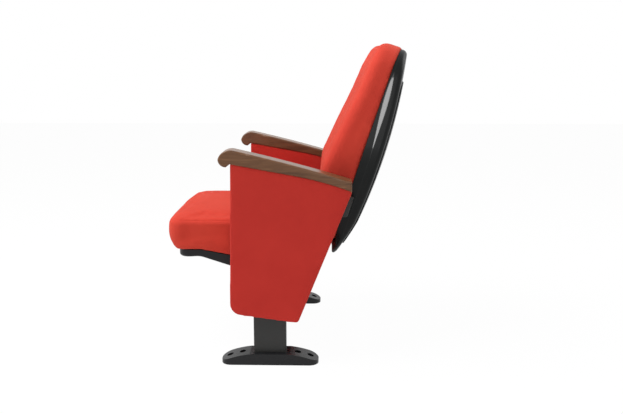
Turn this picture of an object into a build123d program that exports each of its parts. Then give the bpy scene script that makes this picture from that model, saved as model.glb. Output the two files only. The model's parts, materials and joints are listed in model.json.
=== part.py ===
"""Tip-up auditorium seat between two padded standards.

Millimetres. +X is the sitter's left, the seat faces -Y, +Z is up and the floor is Z = 0. The origin lies on
the floor, at the centre of the anchor holes of the two feet. Pieces of a standard are drawn on the left one
and mirrored to the right one. The seat's width sets the spacing of the standards and the width of the back.
"""
import os
from math import asin, cos, degrees, pi, radians, sin, sqrt, tan

from build123d import *

os.makedirs("parts", exist_ok=True)

# Driving dimensions: width between the standards, feet and columns
seat_width = 490.0
seat_side_gap = 15.0
foot_length = 300.0
foot_width = 70.0
foot_tip_height = 8.0
foot_tip_overrun = 6.0
foot_crown_height = 35.0
foot_crown_length = 124.0
foot_arch = 5.0
foot_wall = 7.0
foot_end_radius = 30.0
anchor_outer_span = 250.0
anchor_inner_span = 172.0
anchor_hole_diameter = 11.0
anchor_boss_diameter = 25.0
anchor_seat_diameter = 20.0
anchor_outer_seat = 10.0
anchor_inner_seat = 16.0
column_depth = 100.0
column_width = 32.0
column_wall = 2.5
column_corner = 6.0
spigot_height = 14.0
spigot_clearance = 0.3

# Padded panels of the standards
board_thickness = 12.5
panel_cover_thickness = 1.5
panel_edge_rounding = 4.0
panel_front = 119.0
panel_front_lean = 1.2
panel_front_height = 163.0
panel_front_corner = 35.0
panel_rear = 86.5
panel_rear_lean = 21.7
panel_rear_height = 135.0
panel_rear_corner = 7.0
rail_width = 18.0
panel_clearance = 0.5

# Armrests
arm_width = 66.0
arm_height = 601.0
arm_slope = 10.3
arm_bend = 78.0
arm_rear_radius = 960.0
arm_rear = 247.0
arm_nose = 146.0
arm_heel = 111.0
arm_front_thickness = 42.0
arm_rear_thickness = 30.0
arm_top_bulge = 3.5
arm_lip_drop = 9.0
arm_edge_radius = 5.0
arm_plate_length = 150.0
arm_plate_thickness = 4.0
arm_screw_span = 122.0
arm_screw_depth = 18.0

# Tip-up hinge
pivot_y = 55.0
pivot_height = 345.0
tip_angle = 75.0
hinge_plate_thickness = 6.0
hinge_plate_length = 57.0
hinge_boss_radius = 42.0
hinge_boss_height = 10.0
axle_diameter = 18.0
axle_clearance = 0.05
axle_end = 7.0
clip_thickness = 2.0
clip_width = 5.0
clip_groove = 1.0
clip_opening = 60.0
bush_wall = 3.0
bush_flange = 5.0
bush_flange_thickness = 2.0
stop_radius = 32.0
stop_pin_diameter = 9.0
stop_sleeve_wall = 2.5
stop_gap = 0.5
stop_rim = 5.0
lever_thickness = 8.0
lever_offset = 36.0
lever_length = 205.0
spring_wire = 3.5
spring_radius = 14.0
spring_pitch = 5.0
spring_turns = 4
spring_leg = 16.0
spring_bend = 5.0
spring_end = 6.0
spring_hole_clearance = 0.3

# Seat
seat_front = 316.0
seat_rear = 125.0
seat_height = 453.0
seat_crown = 11.6
seat_nose_height = 405.0
seat_nose_overrun = 2.0
seat_block_margin = 20.0
seat_tuck = 25.0
seat_corner_radius = 42.0
seat_top_rounding = 24.0
seat_tuck_rounding = 12.0
seat_edge_front_height = 343.0
seat_edge_bend = 215.0
seat_edge_rear_bend = 20.0
seat_edge_rear_height = 305.0
seat_board_height = 345.0
seat_board_thickness = 12.0
seat_skirt = 15.0
cover_thickness = 1.5
frame_tube = 24.0
frame_tube_wall = 2.0
frame_front = 200.0
frame_rear = 0.0
seat_board_front = 268.0
seat_board_rear = 104.0
frame_screw_front = 172.0
frame_screw_rear = 36.0
pan_inset = 5.0
pan_front = 290.0
pan_rear = 118.0
pan_bend = 60.0
pan_edge_rounding = 8.0
pan_rear_corner = 22.0
pan_wall = 3.0
pan_front_height = 317.0
pan_waist = 221.0
pan_waist_height = 321.0
pan_belly_front = 85.0
pan_belly_rear = 60.0
pan_belly_height = 277.0
pan_corner_radius = 40.0
pan_gap = 0.3
drum_wall = 3.0
drum_gap = 4.0
drum_rim = 11.0
drum_depth = 11.0
notch_depth = 47.0
seat_rear_corner_radius = 28.0
tower_diameter = 16.0
tower_side_inset = 130.0
tower_front = 250.0
tower_middle = 90.0
tower_rear = 70.0
wood_screw_diameter = 5.0
wood_screw_head = 10.0
wood_screw_head_height = 3.0
wood_screw_grip = 9.0

# Back
back_y = 255.0
back_height = 565.0
back_rake = 18.1
back_radius = 1200.0
back_cushion_radius = 2000.0
back_sagitta = 25.0
back_bottom = 207.0
back_top = 410.0
back_top_arch = 6.0
back_overrun = 25.0
back_side_gap = 10.0
back_bottom_taper = 15.0
back_top_taper = 27.0
back_waist = 90.0
back_shoulder_radius = 92.0
back_corner_radius = 62.0
back_cushion_top = 417.0
back_cushion_head = 50.0
back_cushion_neck = 64.0
back_cushion_neck_level = 245.0
back_cushion_lumbar = 93.0
back_cushion_lumbar_level = 5.0
back_cushion_seat = 66.0
back_cushion_seat_level = 120.0
back_cushion_foot = 22.0
back_cushion_bend = 110.0
back_front_rounding = 34.0
back_tuck_rounding = 12.0
back_board_top = 402.0
back_board_thickness = 12.0
back_board_clearance = 0.6
shell_wall = 4.0
shell_head_depth = 14.5
shell_middle_depth = 54.0
shell_foot_depth = 29.0
shell_rear_rounding = 16.0
shell_panel_rise = 4.0
shell_panel_inset = 26.0
shell_panel_top = 345.0
shell_boss_diameter = 16.0
shell_screw_inset = 100.0
shell_screw_upper = 300.0
shell_screw_lower = 130.0
bracket_thickness = 6.0
bracket_height = 60.0
bracket_level = 80.0
bracket_flange = 80.0
bracket_column_height = 470.0
bracket_margin = 12.0

# Fasteners
bolt_diameter = 8.0
bolt_clearance = 0.4
bolt_head_width = 13.0
bolt_head_height = 5.0
nut_height = 6.5
thread_gap = 0.1
hinge_bolt_spacing = 46.0
bracket_bolt_spacing = 40.0
lever_bolt_spacing = 60.0
lever_bolt_front = 118.0
back_bolt_spacing = 32.0

# Sizes that follow from the ones above
seat_half = seat_width / 2
panel_thickness = column_width + 2 * (board_thickness + panel_cover_thickness)
panel_inner = seat_half + seat_side_gap
standard_x = panel_inner + panel_thickness / 2
column_inner = standard_x - column_width / 2
rail_middle = panel_cover_thickness + rail_width / 2
boss_face = column_inner - hinge_plate_thickness - hinge_boss_height
bolt_hole = bolt_diameter / 2 + bolt_clearance
pan_half = seat_half - pan_inset
axle_radius = axle_diameter / 2
bush_radius = axle_radius + axle_clearance + bush_wall
sleeve_radius = stop_pin_diameter / 2 + stop_sleeve_wall
slot_width = 2 * (sleeve_radius + stop_gap)
lever_eye = stop_radius + slot_width / 2 + stop_rim
lever_outer = boss_face - lever_offset
lever_inner = lever_outer - lever_thickness
drum_hole = stop_radius + sleeve_radius + drum_gap
drum_radius = drum_hole + drum_rim
board_half = seat_half - seat_skirt - cover_thickness
seat_crown_radius = (seat_half**2 + seat_crown**2) / (2 * seat_crown)
tower_x = seat_half - tower_side_inset
back_waist_width = 2 * (panel_inner - back_side_gap)
back_bottom_width = back_waist_width - 2 * back_bottom_taper
back_top_width = back_waist_width - 2 * back_top_taper
shell_screw_x = back_waist_width / 2 - shell_screw_inset
stop_start = -tip_angle / 2
far = 1000.0


# Shared forms

def write_pair(piece, name):
    """Write a piece of the left standard and its mirror image on the right one."""
    piece.part.label = "left_" + name
    export_step(piece.part, "parts/left_" + name + ".step")
    with BuildPart() as twin:
        add(piece.part)
        mirror(about=Plane.YZ, mode=Mode.REPLACE)
    twin.part.label = "right_" + name
    export_step(twin.part, "parts/right_" + name + ".step")


def round_corner(sketch, corner, radius):
    """Round the corner of a sketch that lies at this point."""
    fillet(sketch.vertices().sort_by_distance(corner)[0], radius)


def rim(faces):
    """The edges round a group of faces, without those that two of the group share."""
    edges = [edge for face in faces for edge in face.edges()]
    return ShapeList([edge for edge in edges if sum(edge.is_same(other) for other in edges) == 1])


def facing(part, direction, least):
    """The faces of a part that look towards a direction by at least this cosine."""
    return part.faces().filter_by(lambda face: face.normal_at().dot(Vector(*direction)) > least)


def arm_underside(y):
    """Height of an armrest's underside at y: straight over the column, then an arc down to the rear."""
    straight = arm_height - tan(radians(arm_slope)) * min(y, arm_bend)
    if y <= arm_bend:
        return straight
    centre_y = arm_bend - arm_rear_radius * sin(radians(arm_slope))
    centre_z = straight - arm_rear_radius * cos(radians(arm_slope))
    return centre_z + sqrt(arm_rear_radius**2 - (y - centre_y) ** 2)


def panel_front_at(height):
    """How far back the leaning front edge of a padded panel is at a height."""
    return (height - panel_front_height) * tan(radians(panel_front_lean)) - panel_front


def panel_rear_at(height):
    """How far back the leaning rear edge of a padded panel is at a height."""
    return (height - panel_rear_height) * tan(radians(panel_rear_lean)) + panel_rear


def panel_body(inset, half_thickness, rounding):
    """A standard's padded panel, drawn in by inset all round and still uncut at the top."""
    top = arm_height + panel_front_height
    front_top = (panel_front_at(top), top)
    rear_top = (panel_rear_at(top), top)
    with BuildPart() as body:
        with BuildSketch(Plane.YZ.offset(standard_x)) as side:
            with BuildLine():
                Polyline(
                    front_top,
                    (-panel_front, panel_front_height),
                    (panel_rear, panel_rear_height),
                    rear_top,
                    close=True,
                )
            make_face()
            round_corner(side, (-panel_front, panel_front_height), panel_front_corner)
            round_corner(side, (panel_rear, panel_rear_height), panel_rear_corner)
            offset(amount=-inset, mode=Mode.REPLACE)
        extrude(amount=half_thickness, both=True)
        fillet(body.faces().filter_by(Axis.X).edges(), rounding)
    return body.part


def above_arm():
    """All that lies above the underside of the left armrest."""
    last = 1.2 * arm_rear
    with BuildPart() as block:
        with BuildSketch(Plane.YZ.offset(standard_x)):
            with BuildLine():
                Line((-far, arm_underside(-far)), (arm_bend, arm_underside(arm_bend)))
                ThreePointArc(
                    (arm_bend, arm_underside(arm_bend)),
                    ((arm_bend + last) / 2, arm_underside((arm_bend + last) / 2)),
                    (last, arm_underside(last)),
                )
                Polyline((last, arm_underside(last)), (far, arm_underside(last)), (far, far), (-far, far))
                Line((-far, far), (-far, arm_underside(-far)))
            make_face()
        extrude(amount=panel_thickness, both=True)
    return block.part


over_arm = above_arm()
core_half = panel_thickness / 2 - panel_cover_thickness
panel_core = panel_body(panel_cover_thickness, core_half, panel_edge_rounding - panel_cover_thickness)


# Feet and columns

def foot_block(inset):
    """The arched foot with its rounded ends, drawn in by inset but still on the floor."""
    half = foot_length / 2 - inset
    beyond = half + foot_tip_overrun
    crown = foot_crown_length / 2
    tip = foot_tip_height - inset
    top = foot_crown_height - inset
    bulge = ((half + crown) / 2, (tip + top) / 2 + foot_arch)
    with BuildPart() as block:
        with BuildSketch(Plane.YZ.offset(standard_x)):
            with BuildLine():
                Polyline((-beyond, tip), (-beyond, 0), (beyond, 0), (beyond, tip))
                ThreePointArc((beyond, tip), bulge, (crown, top))
                Line((crown, top), (-crown, top))
                ThreePointArc((-crown, top), (-bulge[0], bulge[1]), (-beyond, tip))
            make_face()
        extrude(amount=foot_width, both=True)
        with BuildSketch():
            with Locations((standard_x, 0)):
                RectangleRounded(foot_width - 2 * inset, 2 * half, foot_end_radius - inset)
        extrude(amount=foot_crown_height, mode=Mode.INTERSECT)
    return block.part


anchor_spans = (anchor_outer_span, anchor_inner_span)
anchor_places = [(standard_x, end * span / 2) for span in anchor_spans for end in (-1, 1)]
foot_outside = foot_block(0)

with BuildPart() as foot_bosses:
    with BuildSketch():
        with Locations(anchor_places):
            Circle(anchor_boss_diameter / 2)
    extrude(amount=foot_crown_height)
    add(foot_block(foot_wall / 2), mode=Mode.INTERSECT)

with BuildPart() as foot:
    add(foot_outside)
    add(foot_block(foot_wall), mode=Mode.SUBTRACT)
    add(foot_bosses.part)
    with BuildSketch(Plane.XY.offset(foot_crown_height)):
        with Locations((standard_x, 0)):
            RectangleRounded(
                column_width - 2 * (column_wall + spigot_clearance),
                column_depth - 2 * (column_wall + spigot_clearance),
                column_corner - column_wall - spigot_clearance,
            )
    extrude(amount=spigot_height)
    with BuildSketch(Plane.XY):
        with Locations(anchor_places):
            Circle(anchor_hole_diameter / 2)
    extrude(amount=foot_crown_height, mode=Mode.SUBTRACT)
    for place in anchor_places:
        outer = abs(place[1]) > (anchor_outer_span + anchor_inner_span) / 4
        with BuildSketch(Plane.XY.offset(anchor_outer_seat if outer else anchor_inner_seat)):
            with Locations(place):
                Circle(anchor_seat_diameter / 2)
        extrude(amount=foot_crown_height, mode=Mode.SUBTRACT)
write_pair(foot, "foot")

arm_upward = (0, sin(radians(arm_slope)), cos(radians(arm_slope)))
arm_plane = Plane(origin=(standard_x, 0, arm_height), x_dir=(1, 0, 0), z_dir=arm_upward)
hinge_bolt_places = [
    (pivot_y - hinge_plate_length - along, pivot_height + side * hinge_bolt_spacing / 2)
    for along in (-hinge_bolt_spacing / 4, hinge_bolt_spacing / 4)
    for side in (-1, 1)
]
bracket_bolt_places = [
    (along * bracket_bolt_spacing / 2, bracket_column_height + side * bracket_bolt_spacing / 2)
    for along in (-1, 1)
    for side in (-1, 1)
]
column_bolt_places = hinge_bolt_places + bracket_bolt_places

with BuildPart() as column:
    with BuildSketch(Plane.XY.offset(foot_crown_height)):
        with Locations((standard_x, 0)):
            RectangleRounded(column_width, column_depth, column_corner)
            RectangleRounded(
                column_width - 2 * column_wall,
                column_depth - 2 * column_wall,
                column_corner - column_wall,
                mode=Mode.SUBTRACT,
            )
    extrude(amount=arm_height)
    split(bisect_by=arm_plane.offset(-arm_plate_thickness), keep=Keep.BOTTOM)
    with BuildSketch(Plane.YZ.offset(column_inner)):
        with Locations(column_bolt_places):
            Circle(bolt_hole)
    extrude(amount=column_wall, mode=Mode.SUBTRACT)
write_pair(column, "column")


# Armrests

arm_screw_places = [(0, end * arm_screw_span / 2) for end in (-1, 1)]

with BuildPart() as armrest_plate:
    with BuildSketch(arm_plane):
        Rectangle(column_width, arm_plate_length)
        with Locations(arm_screw_places):
            Circle(wood_screw_diameter / 2 + bolt_clearance, mode=Mode.SUBTRACT)
    extrude(amount=-arm_plate_thickness)
write_pair(armrest_plate, "armrest_plate")

heel = (-arm_heel, arm_underside(-arm_heel))
bend = (arm_bend, arm_underside(arm_bend))
rear_middle = ((arm_bend + arm_rear) / 2, arm_underside((arm_bend + arm_rear) / 2))
rear_bottom = (arm_rear, arm_underside(arm_rear))
rear_top = (arm_rear, arm_underside(arm_rear) + arm_rear_thickness)
nose_length = arm_nose - arm_heel
top_front = (-arm_heel + nose_length / 3, arm_underside(-arm_heel + nose_length / 3) + arm_front_thickness)
top_middle = ((rear_top[0] + top_front[0]) / 2, (rear_top[1] + top_front[1]) / 2 + arm_top_bulge)
lip = (-arm_heel - nose_length / 3, heel[1] - arm_lip_drop)
nose_tip = (-arm_nose, heel[1] + arm_front_thickness / 3)
nose_upper = (-arm_nose + nose_length / 2.6, top_front[1] - arm_front_thickness / 7)
nose_lower = (-arm_nose + nose_length / 7, (nose_tip[1] + lip[1]) / 2 - nose_length / 12)

with BuildPart() as armrest:
    with BuildSketch(Plane.YZ.offset(standard_x)):
        with BuildLine():
            Line(heel, bend)
            ThreePointArc(bend, rear_middle, rear_bottom)
            Line(rear_bottom, rear_top)
            ThreePointArc(rear_top, top_middle, top_front)
            ThreePointArc(top_front, nose_upper, nose_tip)
            ThreePointArc(nose_tip, nose_lower, lip)
            Line(lip, heel)
        make_face()
    extrude(amount=arm_width / 2, both=True)
    fillet(armrest.faces().filter_by(Axis.X).edges(), arm_edge_radius)
    with BuildSketch(arm_plane):
        with Locations(arm_screw_places):
            Circle(wood_screw_diameter / 2)
    extrude(amount=arm_screw_depth, mode=Mode.SUBTRACT)
write_pair(armrest, "armrest")

with BuildPart() as armrest_screws:
    with BuildSketch(arm_plane.offset(-arm_plate_thickness)):
        with Locations(arm_screw_places):
            Circle(wood_screw_diameter / 2)
    extrude(amount=arm_plate_thickness + arm_screw_depth)
    with BuildSketch(arm_plane.offset(-arm_plate_thickness)):
        with Locations(arm_screw_places):
            RegularPolygon(wood_screw_head / 2, 6)
    extrude(amount=-wood_screw_head_height)
write_pair(armrest_screws, "armrest_screws")


# Hinge plates with their axles, stops and return springs

hinge_bolt_centre = pivot_y - hinge_plate_length


def coil_point(turn):
    """A point of the return spring's coil, counted in turns from its end at the hinge plate."""
    angle = radians(360 * turn)
    inward = boss_face - spring_bend - spring_wire / 2 - spring_pitch * turn
    return Vector(inward, pivot_y + spring_radius * cos(angle), pivot_height + spring_radius * sin(angle))


def coil_way(turn):
    """The direction of the coil at that point."""
    angle = radians(360 * turn)
    rise = Vector(-spring_pitch, 0, 0)
    around = Vector(0, -sin(angle), cos(angle)) * radians(360) * spring_radius
    return (rise + around).normalized()


coil_turns = spring_turns + 0.25
leg_start = coil_point(coil_turns)
leg_way = coil_way(coil_turns)
leg_end = leg_start + leg_way * spring_leg
hook_end = leg_end + leg_way * spring_bend + Vector(-spring_bend, 0, 0)
coil_start = coil_point(0)
anchor = coil_start - coil_way(0) * spring_bend + Vector(spring_bend, 0, 0)

with BuildPart() as hinge_plate:
    with BuildSketch(Plane.YZ.offset(column_inner)):
        with Locations(((pivot_y + hinge_bolt_centre) / 2, pivot_height)):
            SlotCenterToCenter(hinge_plate_length, 2 * hinge_boss_radius)
    extrude(amount=-hinge_plate_thickness)
    with BuildSketch(Plane.YZ.offset(column_inner - hinge_plate_thickness)):
        with Locations((pivot_y, pivot_height)):
            Circle(hinge_boss_radius)
    extrude(amount=-hinge_boss_height)
    with BuildSketch(Plane.YZ.offset(column_inner)):
        with Locations((pivot_y, pivot_height)):
            Circle(axle_radius)
            with PolarLocations(stop_radius, 1, start_angle=stop_start):
                Circle(stop_pin_diameter / 2)
        with Locations(hinge_bolt_places):
            Circle(bolt_hole)
    extrude(amount=-(hinge_plate_thickness + hinge_boss_height), mode=Mode.SUBTRACT)
    with BuildSketch(Plane.YZ.offset(boss_face)):
        with Locations((anchor.Y, anchor.Z)):
            Circle(spring_wire / 2 + spring_hole_clearance)
    extrude(amount=spring_end, mode=Mode.SUBTRACT)
write_pair(hinge_plate, "hinge_plate")

with BuildPart() as pivot_axle:
    with BuildSketch(Plane.YZ.offset(column_inner)):
        with Locations((pivot_y, pivot_height)):
            Circle(axle_radius)
    extrude(amount=-(column_inner - lever_inner + axle_end))
    with BuildSketch(Plane.YZ.offset(lever_inner - stop_gap)):
        with Locations((pivot_y, pivot_height)):
            Circle(axle_radius)
            Circle(axle_radius - clip_groove, mode=Mode.SUBTRACT)
    extrude(amount=-clip_thickness, mode=Mode.SUBTRACT)
write_pair(pivot_axle, "pivot_axle")

with BuildPart() as axle_clip:
    with BuildSketch(Plane.YZ.offset(lever_inner - stop_gap)):
        with Locations((pivot_y, pivot_height)):
            Circle(axle_radius - clip_groove + clip_width)
            Circle(axle_radius - clip_groove, mode=Mode.SUBTRACT)
        with BuildLine(Plane((pivot_y, pivot_height, 0))):
            Polyline(
                (0, 0),
                (-far * cos(radians(clip_opening / 2)), -far * sin(radians(clip_opening / 2))),
                (-far * cos(radians(clip_opening / 2)), far * sin(radians(clip_opening / 2))),
                close=True,
            )
        make_face(mode=Mode.SUBTRACT)
    extrude(amount=-clip_thickness)
write_pair(axle_clip, "axle_clip")

with BuildPart() as pivot_bush:
    with BuildSketch(Plane.YZ.offset(lever_inner)):
        with Locations((pivot_y, pivot_height)):
            Circle(bush_radius)
    extrude(amount=lever_thickness)
    with BuildSketch(Plane.YZ.offset(lever_outer)):
        with Locations((pivot_y, pivot_height)):
            Circle(bush_radius + bush_flange)
    extrude(amount=bush_flange_thickness)
    with BuildSketch(Plane.YZ.offset(lever_inner)):
        with Locations((pivot_y, pivot_height)):
            Circle(axle_radius + axle_clearance)
    extrude(amount=lever_thickness + bush_flange_thickness, mode=Mode.SUBTRACT)
write_pair(pivot_bush, "pivot_bush")

with BuildPart() as stop_pin:
    with BuildSketch(Plane.YZ.offset(column_inner)):
        with Locations((pivot_y, pivot_height)):
            with PolarLocations(stop_radius, 1, start_angle=stop_start):
                Circle(stop_pin_diameter / 2)
    extrude(amount=-(column_inner - lever_inner + stop_gap))
write_pair(stop_pin, "stop_pin")

with BuildPart() as stop_buffer:
    with BuildSketch(Plane.YZ.offset(boss_face)):
        with Locations((pivot_y, pivot_height)):
            with PolarLocations(stop_radius, 1, start_angle=stop_start):
                Circle(sleeve_radius)
                Circle(stop_pin_diameter / 2, mode=Mode.SUBTRACT)
    extrude(amount=-(boss_face - lever_inner))
write_pair(stop_buffer, "stop_buffer")


def arc_pair(start, start_way, end, end_way):
    """Two tangent arcs between two points with given directions."""
    gap = end - start
    ways = start_way + end_way
    slack = 2 * (1 - start_way.dot(end_way))
    reach = (sqrt(gap.dot(ways) ** 2 + slack * gap.dot(gap)) - gap.dot(ways)) / slack
    ahead = start + start_way * reach
    back = end - end_way * reach
    middle = (ahead + back) * 0.5
    TangentArc(start, middle, tangent=start_way)
    TangentArc(middle, end, tangent=back - ahead)


with BuildPart() as return_spring:
    with BuildLine() as spring_path:
        Line(anchor + Vector(spring_end - spring_hole_clearance, 0, 0), anchor)
        TangentArc(anchor, coil_start, tangent=(-1, 0, 0))
        for step in range(int(4 * coil_turns)):
            start = step / 4
            end = start + 1 / 4
            arc_pair(coil_point(start), coil_way(start), coil_point(end), coil_way(end))
        Line(leg_start, leg_end)
        TangentArc(leg_end, hook_end, tangent=leg_way)
        Line(hook_end, (lever_inner, hook_end.Y, hook_end.Z))
    spring_run = spring_path.wire()
    with BuildSketch(Plane(origin=spring_run @ 0, z_dir=spring_run % 0)):
        Circle(spring_wire / 2)
    sweep(path=spring_run)
write_pair(return_spring, "return_spring")
print("least gap between the spring's turns", round(spring_pitch - spring_wire, 2))
wire_volume = spring_run.length * pi * spring_wire**2 / 4
print("spring volume over section times length", round(return_spring.part.volume / wire_volume, 4))


# Padded panels: two boards with rails between them, in a cover that is open under the armrest

def board_slab(start, thickness):
    """The part of a panel's core between two upright planes, cut off under the armrest."""
    with BuildPart() as slab:
        add(panel_core)
        with BuildSketch(Plane.YZ.offset(start)):
            Rectangle(2 * far, 2 * far)
        extrude(amount=thickness, mode=Mode.INTERSECT)
        add(over_arm, mode=Mode.SUBTRACT)
    return slab.part


lowest_screw = panel_front_height + 3 * rail_width
front_screw_heights = (lowest_screw, pivot_height, arm_height - 3 * rail_width)
rear_screw_heights = (lowest_screw, bracket_column_height - bracket_height / 2 - rail_width)
rear_screw_inset = rail_middle / cos(radians(panel_rear_lean))
board_screw_places = [(panel_front_at(height) + rail_middle, height) for height in front_screw_heights]
board_screw_places += [(panel_rear_at(height) - rear_screw_inset, height) for height in rear_screw_heights]


def board_holes(start, thickness):
    """Holes for the wood screws, which run from the inner board through the rails to the outer board."""
    with BuildPart() as holes:
        with BuildSketch(Plane.YZ.offset(start)):
            with Locations(board_screw_places):
                Circle(wood_screw_diameter / 2)
        extrude(amount=thickness)
    return holes.part


# Back: surfaces curved about an upright line in front of the sitter

back_ahead = (0, -cos(radians(back_rake)), sin(radians(back_rake)))
back_plane = Plane(origin=(0, back_y, back_height), x_dir=(1, 0, 0), z_dir=back_ahead)
back_reach = 0.55 * back_waist_width


def turned_plane(radius, angle):
    """Upright section of the back at an angle about the axis of a surface of this radius."""
    ahead = back_plane.z_dir * cos(radians(angle)) - back_plane.x_dir * sin(radians(angle))
    axis_point = back_plane.origin + back_plane.z_dir * radius
    return Plane(origin=axis_point - ahead * radius, x_dir=ahead, z_dir=ahead.cross(back_plane.y_dir))


def swing(radius):
    """Half the angle that a surface of this radius turns across the back."""
    return degrees(asin(back_reach / radius))


def swing_axis(radius):
    """The upright line that such a surface is curved about."""
    return Axis(origin=back_plane.origin + back_plane.z_dir * radius, direction=back_plane.y_dir)


def back_spot(x, level, depth):
    """A plane on the curved back, depth behind its front, at a place across and up it and looking ahead."""
    angle = degrees(asin(x / (back_radius + back_sagitta + depth)))
    ahead = back_plane.z_dir * cos(radians(angle)) - back_plane.x_dir * sin(radians(angle))
    axis_point = back_plane.origin + back_plane.z_dir * back_radius
    place = axis_point - ahead * (back_radius + back_sagitta + depth) + back_plane.y_dir * level
    return Plane(origin=place, x_dir=back_plane.y_dir, z_dir=ahead)


def back_outline(inset, top):
    """Front outline of the back: rounded shoulders, widest above the seat, drawn in by inset."""
    with BuildSketch(back_plane) as outline:
        with BuildLine():
            Polyline(
                (-back_top_width / 2, top),
                (-back_waist_width / 2, back_waist),
                (-back_bottom_width / 2, -back_bottom),
                (back_bottom_width / 2, -back_bottom),
                (back_waist_width / 2, back_waist),
                (back_top_width / 2, top),
            )
            ThreePointArc((back_top_width / 2, top), (0, top + back_top_arch), (-back_top_width / 2, top))
        make_face()
        fillet(outline.vertices().sort_by(Axis.Y)[-2:], back_shoulder_radius)
        fillet(outline.vertices().sort_by(Axis.Y)[:2], back_corner_radius)
        for side in (-1, 1):
            round_corner(outline, (side * back_waist_width / 2, back_waist), back_waist_width)
        if inset:
            offset(amount=-inset, mode=Mode.REPLACE)
    return outline.sketch


def back_slice(front, rear):
    """A curved layer of the back, between two depths behind the front edge of the shell."""
    middle = -back_sagitta - (front + rear) / 2
    with BuildPart() as layer:
        with BuildSketch(turned_plane(back_radius, swing(back_radius))):
            with Locations((middle, 0)):
                Rectangle(rear - front, 3 * back_top)
        revolve(axis=swing_axis(back_radius), revolution_arc=2 * swing(back_radius))
    return layer.part


def shell_solid(inset, front):
    """The space inside the back shell, drawn in by inset, from the depth called front to its rear."""
    head = (-back_sagitta - shell_head_depth + inset, back_top + back_overrun)
    middle = (-back_sagitta - shell_middle_depth + inset, back_waist)
    foot_end = (-back_sagitta - shell_foot_depth + inset, -back_bottom - back_overrun)
    with BuildPart() as solid:
        with BuildSketch(turned_plane(back_radius, swing(back_radius))):
            with BuildLine():
                ThreePointArc(head, middle, foot_end)
                Polyline(
                    foot_end,
                    (-back_sagitta - front, foot_end[1]),
                    (-back_sagitta - front, head[1]),
                    head,
                )
            make_face()
        revolve(axis=swing_axis(back_radius), revolution_arc=2 * swing(back_radius))
        extrude(
            back_outline(inset, back_top),
            amount=back_reach,
            dir=back_plane.z_dir,
            both=True,
            mode=Mode.INTERSECT,
        )
        fillet(rim(facing(solid, -back_plane.z_dir, 0.8)), shell_rear_rounding - inset)
    return solid.part


def back_padding(inset):
    """The back cushion: a crowned front with a lumbar swell, rounded all round and tucked in at the shell."""
    tuck = 2 * back_tuck_rounding
    with BuildPart() as padding:
        with BuildSketch(turned_plane(back_cushion_radius, swing(back_cushion_radius))) as side:
            with BuildLine():
                Polyline(
                    (-back_sagitta - tuck, back_cushion_top + back_cushion_head),
                    (back_cushion_head - inset, back_cushion_top + back_cushion_head),
                    (back_cushion_head - inset, back_cushion_top),
                    (back_cushion_neck - inset, back_cushion_neck_level),
                    (back_cushion_lumbar - inset, back_cushion_lumbar_level),
                    (back_cushion_seat - inset, -back_cushion_seat_level),
                    (back_cushion_foot - inset, -back_bottom),
                    (back_cushion_foot - inset, -back_bottom - back_cushion_foot),
                    (-back_sagitta - tuck, -back_bottom - back_cushion_foot),
                    close=True,
                )
            make_face()
            round_corner(side, (back_cushion_head - inset, back_cushion_top), back_waist_width)
            round_corner(side, (back_cushion_neck - inset, back_cushion_neck_level), back_waist_width)
            round_corner(side, (back_cushion_lumbar - inset, back_cushion_lumbar_level), back_cushion_bend)
            round_corner(side, (back_cushion_seat - inset, -back_cushion_seat_level), back_cushion_bend)
            round_corner(side, (back_cushion_foot - inset, -back_bottom), back_cushion_bend / 2)
        revolve(axis=swing_axis(back_cushion_radius), revolution_arc=2 * swing(back_cushion_radius))
        add(back_slice(-far / 5, back_tuck_rounding), mode=Mode.INTERSECT)
        extrude(
            back_outline(inset, back_cushion_top),
            amount=back_reach,
            dir=back_plane.z_dir,
            both=True,
            mode=Mode.INTERSECT,
        )
        fillet(rim(facing(padding, back_plane.z_dir, 0.5)), back_front_rounding - inset)
        fillet(rim(facing(padding, -back_plane.z_dir, 0.5)), back_tuck_rounding - inset)
        add(back_slice(-far / 5, 0), mode=Mode.INTERSECT)
    return padding.part


shell_screw_levels = (shell_screw_upper, -shell_screw_lower)
shell_screw_places = [(side * shell_screw_x, level) for side in (-1, 1) for level in shell_screw_levels]
board_rear = back_board_thickness
bracket_rear = board_rear + bracket_thickness


def bolt_set(plane, places, grip):
    """Hexagon bolts with nuts: heads behind the plane, shanks through what they grip, nuts beyond it."""
    with BuildPart() as bolts:
        with BuildSketch(plane):
            with Locations(places):
                RegularPolygon(bolt_head_width / 2, 6, major_radius=False)
        extrude(amount=-bolt_head_height)
        with BuildSketch(plane):
            with Locations(places):
                Circle(bolt_diameter / 2)
        extrude(amount=grip + nut_height)
        with BuildSketch(plane.offset(grip)):
            with Locations(places):
                RegularPolygon(bolt_head_width / 2, 6, major_radius=False)
                Circle(bolt_diameter / 2 + thread_gap, mode=Mode.SUBTRACT)
        extrude(amount=nut_height)
    return bolts.part


# Brackets that carry the back on the columns

def bracket_sheet(margin):
    """The bracket's upright leaf, from the column to behind the back board, grown by a margin all round."""
    leaf_end = back_y + bracket_rear
    half = bracket_height / 2 + margin
    end_height = back_height - bracket_level * cos(radians(back_rake))
    with BuildPart() as leaf:
        with BuildSketch(Plane.YZ.offset(column_inner)):
            with BuildLine():
                Polyline(
                    (-bracket_height / 2 - margin, bracket_column_height + half),
                    (-bracket_height / 2 - margin, bracket_column_height - half),
                    (bracket_height / 2, bracket_column_height - half),
                    (leaf_end, end_height - half),
                    (leaf_end, end_height + half),
                    (bracket_height / 2, bracket_column_height + half),
                    close=True,
                )
            make_face()
        extrude(amount=-bracket_thickness - margin)
        add(back_slice(bracket_rear, far / 5), mode=Mode.SUBTRACT)
    return leaf.part


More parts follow.
